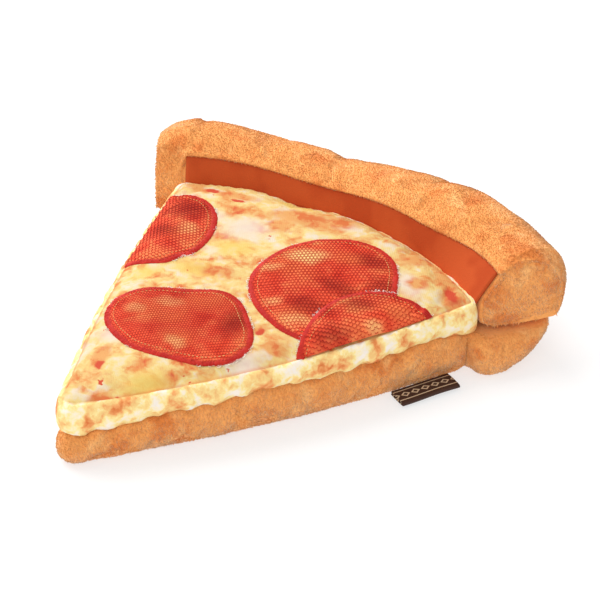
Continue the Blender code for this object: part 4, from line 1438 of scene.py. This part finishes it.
def frayTree():
    # loose curls of bobbin thread in bunches along a line
    tree, given = newTree("frayedThread", fray)
    dots = dotsAlong(tree, given)
    place = addNode(tree, "GeometryNodeInputPosition")
    bunch = addNode(tree, "ShaderNodeTexNoise", None, {"Vector": place.outputs[0], "Scale": given["bunch"]})
    some = addNode(tree, "ShaderNodeMath", {"operation": "GREATER_THAN"},
                   {"Value": bunch.outputs[0], "Value_001": given["least"]})
    curl = addNode(tree, "GeometryNodeCurveArc", None,
                   {"Resolution": 6, "Radius": given["curl"], "Sweep Angle": math.radians(150)})
    yarn = addNode(tree, "GeometryNodeCurvePrimitiveCircle", None,
                   {"Resolution": 3, "Radius": given["thread"]})
    hair = addNode(tree, "GeometryNodeCurveToMesh", None,
                   {"Curve": curl.outputs[0], "Profile Curve": yarn.outputs[0]})
    turn = addNode(tree, "FunctionNodeRandomValue", {"data_type": "FLOAT_VECTOR"},
                   {"Min": (-0.7, -0.7, 0.0), "Max": (0.7, 0.7, 6.28), "Seed": given["seed"]})
    size = addNode(tree, "FunctionNodeRandomValue", {"data_type": "FLOAT"},
                   {"Min_001": 0.5, "Max_001": 1.3, "Seed": given["seed"]})
    laid = addNode(tree, "GeometryNodeInstanceOnPoints", None,
                   {"Points": dots.outputs[0], "Selection": some.outputs[0], "Instance": hair.outputs[0],
                    "Rotation": turn.outputs[0], "Scale": size.outputs[1]})
    finishTree(tree, laid.outputs[0], finishes["white"])
    return tree


def netTree():
    # hexagonal net: a lattice of points dropped on the cloth, each with its six-sided mesh of yarn
    tree, given = newTree("pepperoniNet", net)
    sizes = []
    for count, share in (("columns", 1.0), ("rows", 0.866)):
        less = addNode(tree, "ShaderNodeMath", {"operation": "SUBTRACT"},
                       {"Value": given[count], "Value_001": 1.0})
        scaled = addNode(tree, "ShaderNodeMath", {"operation": "MULTIPLY"},
                         {"Value": less.outputs[0], "Value_001": share})
        sizes.append(addNode(tree, "ShaderNodeMath", {"operation": "MULTIPLY"},
                             {"Value": scaled.outputs[0], "Value_001": given["pitch"]}).outputs[0])
    sizes[1] = addNode(tree, "ShaderNodeMath", {"operation": "MULTIPLY"},
                       {"Value": sizes[1], "Value_001": given["stretch"]}).outputs[0]
    lattice = addNode(tree, "GeometryNodeMeshGrid", None,
                      {"Size X": sizes[0], "Size Y": sizes[1], "Vertices X": given["columns"],
                       "Vertices Y": given["rows"]})
    index = addNode(tree, "GeometryNodeInputIndex")
    row = addNode(tree, "ShaderNodeMath", {"operation": "MODULO"},
                  {"Value": index.outputs[0], "Value_001": given["rows"]})
    odd = addNode(tree, "ShaderNodeMath", {"operation": "MODULO"},
                  {"Value": row.outputs[0], "Value_001": 2.0})
    half = addNode(tree, "ShaderNodeMath", {"operation": "MULTIPLY"},
                   {"Value": odd.outputs[0], "Value_001": 0.5})
    aside = addNode(tree, "ShaderNodeMath", {"operation": "MULTIPLY"},
                    {"Value": half.outputs[0], "Value_001": given["pitch"]})
    step = addNode(tree, "ShaderNodeCombineXYZ", None, {"X": aside.outputs[0]})
    staggered = addNode(tree, "GeometryNodeSetPosition", None,
                        {"Geometry": lattice.outputs[0], "Offset": step.outputs[0]})
    over = addNode(tree, "ShaderNodeCombineXYZ", None,
                   {"X": given["middleX"], "Y": given["middleY"], "Z": given["above"]})
    turned = addNode(tree, "ShaderNodeCombineXYZ", None, {"Z": given["turn"]})
    above = addNode(tree, "GeometryNodeTransform", None,
                    {"Geometry": staggered.outputs[0], "Translation": over.outputs[0],
                     "Rotation": turned.outputs[0]})
    dots = addNode(tree, "GeometryNodeMeshToPoints", None, {"Mesh": above.outputs[0]})
    drop = addNode(tree, "GeometryNodeRaycast", {"data_type": "FLOAT"},
                   {"Target Geometry": given["Geometry"], "Ray Direction": (0.0, 0.0, -1.0),
                    "Ray Length": 90.0 * mm})
    lift = addNode(tree, "ShaderNodeCombineXYZ", None, {"Z": given["lift"]})
    place = addNode(tree, "ShaderNodeVectorMath", {"operation": "ADD"},
                    {"Vector": drop.outputs["Hit Position"], "Vector_001": lift.outputs[0]})
    miss = addNode(tree, "FunctionNodeBooleanMath", {"operation": "NOT"}, {"Boolean": drop.outputs["Is Hit"]})
    kept = addNode(tree, "GeometryNodeDeleteGeometry", {"domain": "POINT"},
                   {"Geometry": dots.outputs[0], "Selection": miss.outputs[0]})
    dropped = addNode(tree, "GeometryNodeSetPosition", None,
                      {"Geometry": kept.outputs[0], "Position": place.outputs[0]})
    outer = addNode(tree, "ShaderNodeMath", {"operation": "MULTIPLY"},
                    {"Value": given["pitch"], "Value_001": 1 / math.sqrt(3)})
    cell = addNode(tree, "GeometryNodeMeshCone", {"fill_type": "NONE"},
                   {"Vertices": 6, "Radius Top": given["hole"], "Radius Bottom": outer.outputs[0],
                    "Depth": given["rise"]})
    upright = addNode(tree, "GeometryNodeTransform", None,
                      {"Geometry": cell.outputs[0], "Rotation": Euler((0.0, 0.0, math.pi / 6))})
    longer = addNode(tree, "ShaderNodeCombineXYZ", None, {"X": 1.0, "Y": given["stretch"], "Z": 1.0})
    laid = addNode(tree, "GeometryNodeInstanceOnPoints", None,
                   {"Points": dropped.outputs[0], "Instance": upright.outputs[0],
                    "Rotation": turned.outputs[0], "Scale": longer.outputs[0]})
    finishTree(tree, laid.outputs[0], finishes["net"])
    return tree


def buildPepperoni():
    netMade, satinMade, tackingMade, frayMade = netTree(), satinTree(), tackingTree(), frayTree()
    pieces = {}
    for number, spec in pepperoni.items():
        cloth = buildCloth(number)
        x, y, _ = inFrame((*spec["centre"], 0.0))
        netting = grown(f"pepperoniNet{number}", cloth, netMade,
                        {**net, **{k: spec[k] for k in net if k in spec}, "middleX": float(x),
                         "middleY": float(y), "turn": math.radians(spec["netTurn"])})
        wall = cloth.modifiers.new("cloth", "SOLIDIFY")
        wall.thickness = patch["cloth"] * mm
        wall.offset = 1.0
        rim = buildRim(number)
        middle = lineOn(number, -patch["rimWidth"] / 2, patch["satinLift"])
        stitches = grown(f"satinStitches{number}", middle, satinMade, satin)
        grow, lift = patch["tackingLine"]
        inner = lineOn(number, grow - patch["rimWidth"], lift)
        tacks = grown(f"netTacking{number}", inner, tackingMade, tacking)
        outer = lineOn(number, *patch["frayLine"])
        curls = grown(f"frayedThread{number}", outer, frayMade, {**fray, "seed": fray["seed"] + number})
        for helper in (middle, inner, outer):
            bpy.data.meshes.remove(helper.data)
        pieces[number] = (cloth, netting, rim, stitches, tacks, curls)
    return pieces


pepperoniPieces = buildPepperoni()
print("stage: pepperoni")


# ridgeHighlight sets the painted highlight: how much lighter the tufts on the raised seam ridges are
pile = {"density": 3.6e6, "apart": 0.42 * mm, "hair": 0.9 * mm, "root": 0.24 * mm, "lift": 0.5, "swirl": 80.0,
        "swirled": 3.0, "ridgeLength": 0.7, "ridgeHighlight": 1.6, "seed": 17}
napWay = (0.5, -0.35, -0.6)  # the way the pile was brushed
ragged = 0.22
pressedFrom, pressedTo = 0.6 * mm, 1.6 * mm  # below this no tuft points into what the toy lies on


def pileTree():
    # brushed pile: tapered tufts that lean along the nap, swirled by a noise
    tree, given = newTree("plushPile", pile)
    furry = addNode(tree, "GeometryNodeInputNamedAttribute", {"data_type": "FLOAT"}, {"Name": "furry"})
    ridge = addNode(tree, "GeometryNodeInputNamedAttribute", {"data_type": "FLOAT"}, {"Name": "ridge"})
    dots = addNode(tree, "GeometryNodeDistributePointsOnFaces", {"distribute_method": "POISSON"},
                   {"Mesh": given["Geometry"], "Distance Min": given["apart"], "Seed": given["seed"],
                    "Density Max": given["density"], "Density Factor": furry.outputs[0]})
    place = addNode(tree, "GeometryNodeInputPosition")
    swirl = addNode(tree, "ShaderNodeTexNoise", None,
                    {"Vector": place.outputs[0], "Scale": given["swirl"], "Detail": 1.5})
    centred = addNode(tree, "ShaderNodeVectorMath", {"operation": "SUBTRACT"},
                      {"Vector": swirl.outputs["Color"], "Vector_001": (0.5, 0.5, 0.5)})
    strong = addNode(tree, "ShaderNodeVectorMath", {"operation": "SCALE"},
                     {"Vector": centred.outputs[0], "Scale": given["swirled"]})
    nap = addNode(tree, "ShaderNodeVectorMath", {"operation": "ADD"},
                  {"Vector": strong.outputs[0], "Vector_001": napWay})
    rise = addNode(tree, "ShaderNodeVectorMath", {"operation": "DOT_PRODUCT"},
                   {"Vector": nap.outputs[0], "Vector_001": dots.outputs["Normal"]})
    drop = addNode(tree, "ShaderNodeVectorMath", {"operation": "SCALE"},
                   {"Vector": dots.outputs["Normal"], "Scale": rise.outputs["Value"]})
    flat = addNode(tree, "ShaderNodeVectorMath", {"operation": "SUBTRACT"},
                   {"Vector": nap.outputs[0], "Vector_001": drop.outputs[0]})
    lean = addNode(tree, "ShaderNodeVectorMath", {"operation": "NORMALIZE"}, {"Vector": flat.outputs[0]})
    stand = addNode(tree, "ShaderNodeVectorMath", {"operation": "SCALE"},
                    {"Vector": dots.outputs["Normal"], "Scale": given["lift"]})
    stray = addNode(tree, "FunctionNodeRandomValue", {"data_type": "FLOAT_VECTOR"},
                    {"Min": (-ragged,) * 3, "Max": (ragged,) * 3, "Seed": given["seed"]})
    both = addNode(tree, "ShaderNodeVectorMath", {"operation": "ADD"},
                   {"Vector": lean.outputs[0], "Vector_001": stand.outputs[0]})
    way = addNode(tree, "ShaderNodeVectorMath", {"operation": "ADD"},
                  {"Vector": both.outputs[0], "Vector_001": stray.outputs[0]})
    height = addNode(tree, "ShaderNodeSeparateXYZ", None, {"Vector": place.outputs[0]})
    pressed = addNode(tree, "ShaderNodeMapRange", None,
                      {"Value": height.outputs[2], "From Min": pressedFrom, "From Max": pressedTo,
                       "To Min": 0.02, "To Max": -9.0})
    floorWay = addNode(tree, "ShaderNodeCombineXYZ", None, {"X": -9.0, "Y": -9.0, "Z": pressed.outputs[0]})
    laidDown = addNode(tree, "ShaderNodeVectorMath", {"operation": "MAXIMUM"},
                       {"Vector": way.outputs[0], "Vector_001": floorWay.outputs[0]})
    turn = addNode(tree, "FunctionNodeAlignRotationToVector", {"axis": "Z"}, {"Vector": laidDown.outputs[0]})
    tuft = addNode(tree, "GeometryNodeMeshCone", {"fill_type": "NONE"},
                   {"Vertices": 3, "Radius Top": 0.0, "Radius Bottom": given["root"], "Depth": given["hair"]})
    length = addNode(tree, "FunctionNodeRandomValue", {"data_type": "FLOAT"},
                     {"Min_001": 0.7, "Max_001": 1.25, "Seed": given["seed"]})
    longer = addNode(tree, "ShaderNodeMath", {"operation": "MULTIPLY_ADD"},
                     {"Value": ridge.outputs[0], "Value_001": given["ridgeLength"],
                      "Value_002": length.outputs[1]})
    laid = addNode(tree, "GeometryNodeInstanceOnPoints", None,
                   {"Points": dots.outputs[0], "Instance": tuft.outputs[0], "Rotation": turn.outputs[0],
                    "Scale": longer.outputs[0]})
    # each tuft's random tone, raised on the seam ridges as a painted highlight
    shade = addNode(tree, "FunctionNodeRandomValue", {"data_type": "FLOAT"},
                    {"Min_001": -1.0, "Max_001": 1.0, "Seed": given["seed"]})
    toneAndRidgeHighlight = addNode(tree, "ShaderNodeMath", {"operation": "MULTIPLY_ADD"},
                    {"Value": ridge.outputs[0], "Value_001": given["ridgeHighlight"],
                     "Value_002": shade.outputs[1]})
    tinted = addNode(tree, "GeometryNodeStoreNamedAttribute", {"data_type": "FLOAT", "domain": "INSTANCE"},
                     {"Geometry": laid.outputs[0], "Name": "tint", "Value": toneAndRidgeHighlight.outputs[0]})
    finishTree(tree, tinted.outputs[0], finishes["plush"])
    return tree


pileMade = pileTree()
pilePieces = {
    name: grown(name, source, pileMade, {**pile, "seed": seed})
    for name, source, seed in (("basePile", plushBase, 17), ("crustPile", crustRoll, 29),
                               ("leftCapPile", crustCaps[-1], 31), ("rightCapPile", crustCaps[1], 37))
}
print("stage: pile")


label = {
    "from": 134.6,  # along the right side
    "width": 26.5,
    "reach": 9.6,
    "rootInset": 1.1,
    "height": 1.7,
    "cloth": 0.5,
    "slot": 0.5,  # between the two layers
    "belly": 0.25,  # the layers part a little
    "foldTurns": [60, 20, -20, -60],
    "sag": (0.2, 0.22, 0.6),  # depth, pace along the tape, phase
    "turn": math.radians(-6.5),
    "steps": 7,
    "columns": 14,
}


def buildLabel():
    # a tape folded back on itself, its two ends together in the seam
    middle = label["from"] + label["width"] / 2
    rootOut = sideBow(middle, 1, base["sides"]) - label["rootInset"]
    bend = (label["cloth"] + label["slot"]) / 2
    fold = label["reach"] - bend - label["cloth"] / 2
    steps, columns = label["steps"], label["columns"]
    parts = [k / steps for k in range(steps + 1)]
    top = [(fold * part, bend + label["belly"] * math.sin(math.pi * part)) for part in parts]
    curve = [(fold + bend * math.cos(t), bend * math.sin(t)) for t in np.radians(label["foldTurns"])]
    path = np.array(top + curve + [(out, -up) for out, up in reversed(top)])
    runs = np.concatenate(([0.0], np.cumsum(np.hypot(*np.diff(path, axis=0).T))))
    deep, pace, phase = label["sag"]
    cosine, sine = math.cos(label["turn"]), math.sin(label["turn"])
    points, tape = [], []
    for c in range(columns + 1):
        along = label["width"] * (c / columns - 0.5)
        for (out, up), run in zip(path, runs):
            plan = sidePoint(middle + along * cosine - out * sine, rootOut + along * sine + out * cosine, 1)
            sag = deep * math.sin(along * pace + phase) * out / label["reach"]
            points.append((plan.x, plan.y, label["height"] + up + sag))
            fromRoot = min(run, runs[-1] - run)
            tape.append((along, fromRoot - runs[steps] / 2, 0.0))
    piece = meshObject("foldedLabel", points, loftFaces(columns + 1, len(path), closed=False), False)
    markPoints(piece, "tape", tape)
    wall = piece.modifiers.new("cloth", "SOLIDIFY")
    wall.thickness = label["cloth"] * mm
    wall.offset = 0.0
    piece.data.materials.append(finishes["tape"])
    return piece, runs[-1]


foldedLabel, tapeLength = buildLabel()
print("stage: label", round(float(tapeLength), 1), "mm of tape")


plushBase.data.materials.append(finishes["plush"])
crustRoll.data.materials.append(finishes["plush"])
for cap in crustCaps.values():
    cap.data.materials.append(finishes["plush"])
printedCheese.data.materials.append(finishes["cheese"])
sauceBand.data.materials.append(finishes["velour"])


def declare(piece, slot, *nodes):
    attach(piece, "root")
    if nodes:
        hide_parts(*nodes)


declare(plushBase, "plush", "plush_base")
declare(printedCheese, "cheese_print", "cheese_layer")
declare(crustRoll, "plush", "crust_roll")
declare(crustCaps[-1], "plush", "crust_end_left")
declare(crustCaps[1], "plush", "crust_end_right")
declare(sauceBand, "sauce_velour", "sauce_band")
for number, (cloth, netting, rim, stitches, tacks, curls) in pepperoniPieces.items():
    declare(cloth, "pepperoni_mesh", f"pepperoni_{number}")
    declare(netting, "pepperoni_mesh")
    declare(rim, "stitch_red", f"pepperoni_rim_{number}")
    for piece in (stitches, tacks, curls):
        declare(piece, "stitch_red")
    outline = clothOutline(number, -patch["rimWidth"] / 2, patch["tuck"])
for piece in pilePieces.values():
    declare(piece, "plush")
declare(foldedLabel, "label_tape", "side_label")


# Studio: pale floor lit from below like a light table, soft light from above left, the photograph's angle
studio = {
    "azimuth": 40.45,
    "elevation": 32.5,
    "distance": 938.7,  # millimetres from the target
    "target": (-7.5, 148.2, 0.0),
    "lens": 132.0,
    "sensor": 36.0,
    "floorSide": 6000.0,  # millimetres to each side
    "floorGlow": 0.62,
    "sky": 0.67,
    "key": 18.0,
    "fill": 5.6,
}


def addCamera():
    a, e = math.radians(studio["azimuth"]), math.radians(studio["elevation"])
    back = Vector((math.sin(a) * math.cos(e), -math.cos(a) * math.cos(e), math.sin(e)))
    camera = bpy.data.objects.new("camera", bpy.data.cameras.new("camera"))
    bpy.context.scene.collection.objects.link(camera)
    camera.data.lens = studio["lens"]
    camera.data.sensor_width = studio["sensor"]
    camera.location = Vector(inFrame(studio["target"])) + back * studio["distance"] * mm
    camera.rotation_mode = "QUATERNION"
    camera.rotation_quaternion = (-back).to_track_quat("-Z", "Y")
    bpy.context.scene.camera = camera


def addLight(name, place, aim, size, power):
    lamp = bpy.data.lights.new(name, "AREA")
    lamp.size = size
    lamp.energy = power
    made = bpy.data.objects.new(name, lamp)
    bpy.context.scene.collection.objects.link(made)
    made.location = place
    made.rotation_mode = "QUATERNION"
    made.rotation_quaternion = (Vector(aim) - Vector(place)).to_track_quat("-Z", "Y")


def addStudio():
    addCamera()
    side = studio["floorSide"]
    corners = [(-side, -side, 0), (side, -side, 0), (side, side, 0), (-side, side, 0)]
    floor = meshObject("floor", corners, [(0, 1, 2, 3)], False)
    paper = bpy.data.materials.new("paperOnLightTable")
    paper.use_nodes = True
    shader = paper.node_tree.nodes["Principled BSDF"]
    shader.inputs["Base Color"].default_value = colour("#a4a4a4")
    shader.inputs["Roughness"].default_value = 0.9
    shader.inputs["Specular IOR Level"].default_value = 0.1
    shader.inputs["Emission Color"].default_value = (1, 1, 1, 1)
    shader.inputs["Emission Strength"].default_value = studio["floorGlow"]
    floor.data.materials.append(paper)
    addLight("keyLight", (-0.75, 0.1, 0.95), (0, 0, 0), 1.2, studio["key"])
    addLight("fillLight", (0.6, -1.0, 0.8), (0, 0, 0.02), 1.0, studio["fill"])
    world = bpy.data.worlds.new("studio")
    bpy.context.scene.world = world
    world.use_nodes = True
    world.node_tree.nodes["Background"].inputs["Color"].default_value = (1, 1, 1, 1)
    world.node_tree.nodes["Background"].inputs["Strength"].default_value = studio["sky"]


addStudio()
bpy.context.scene.view_settings.view_transform = "Standard"
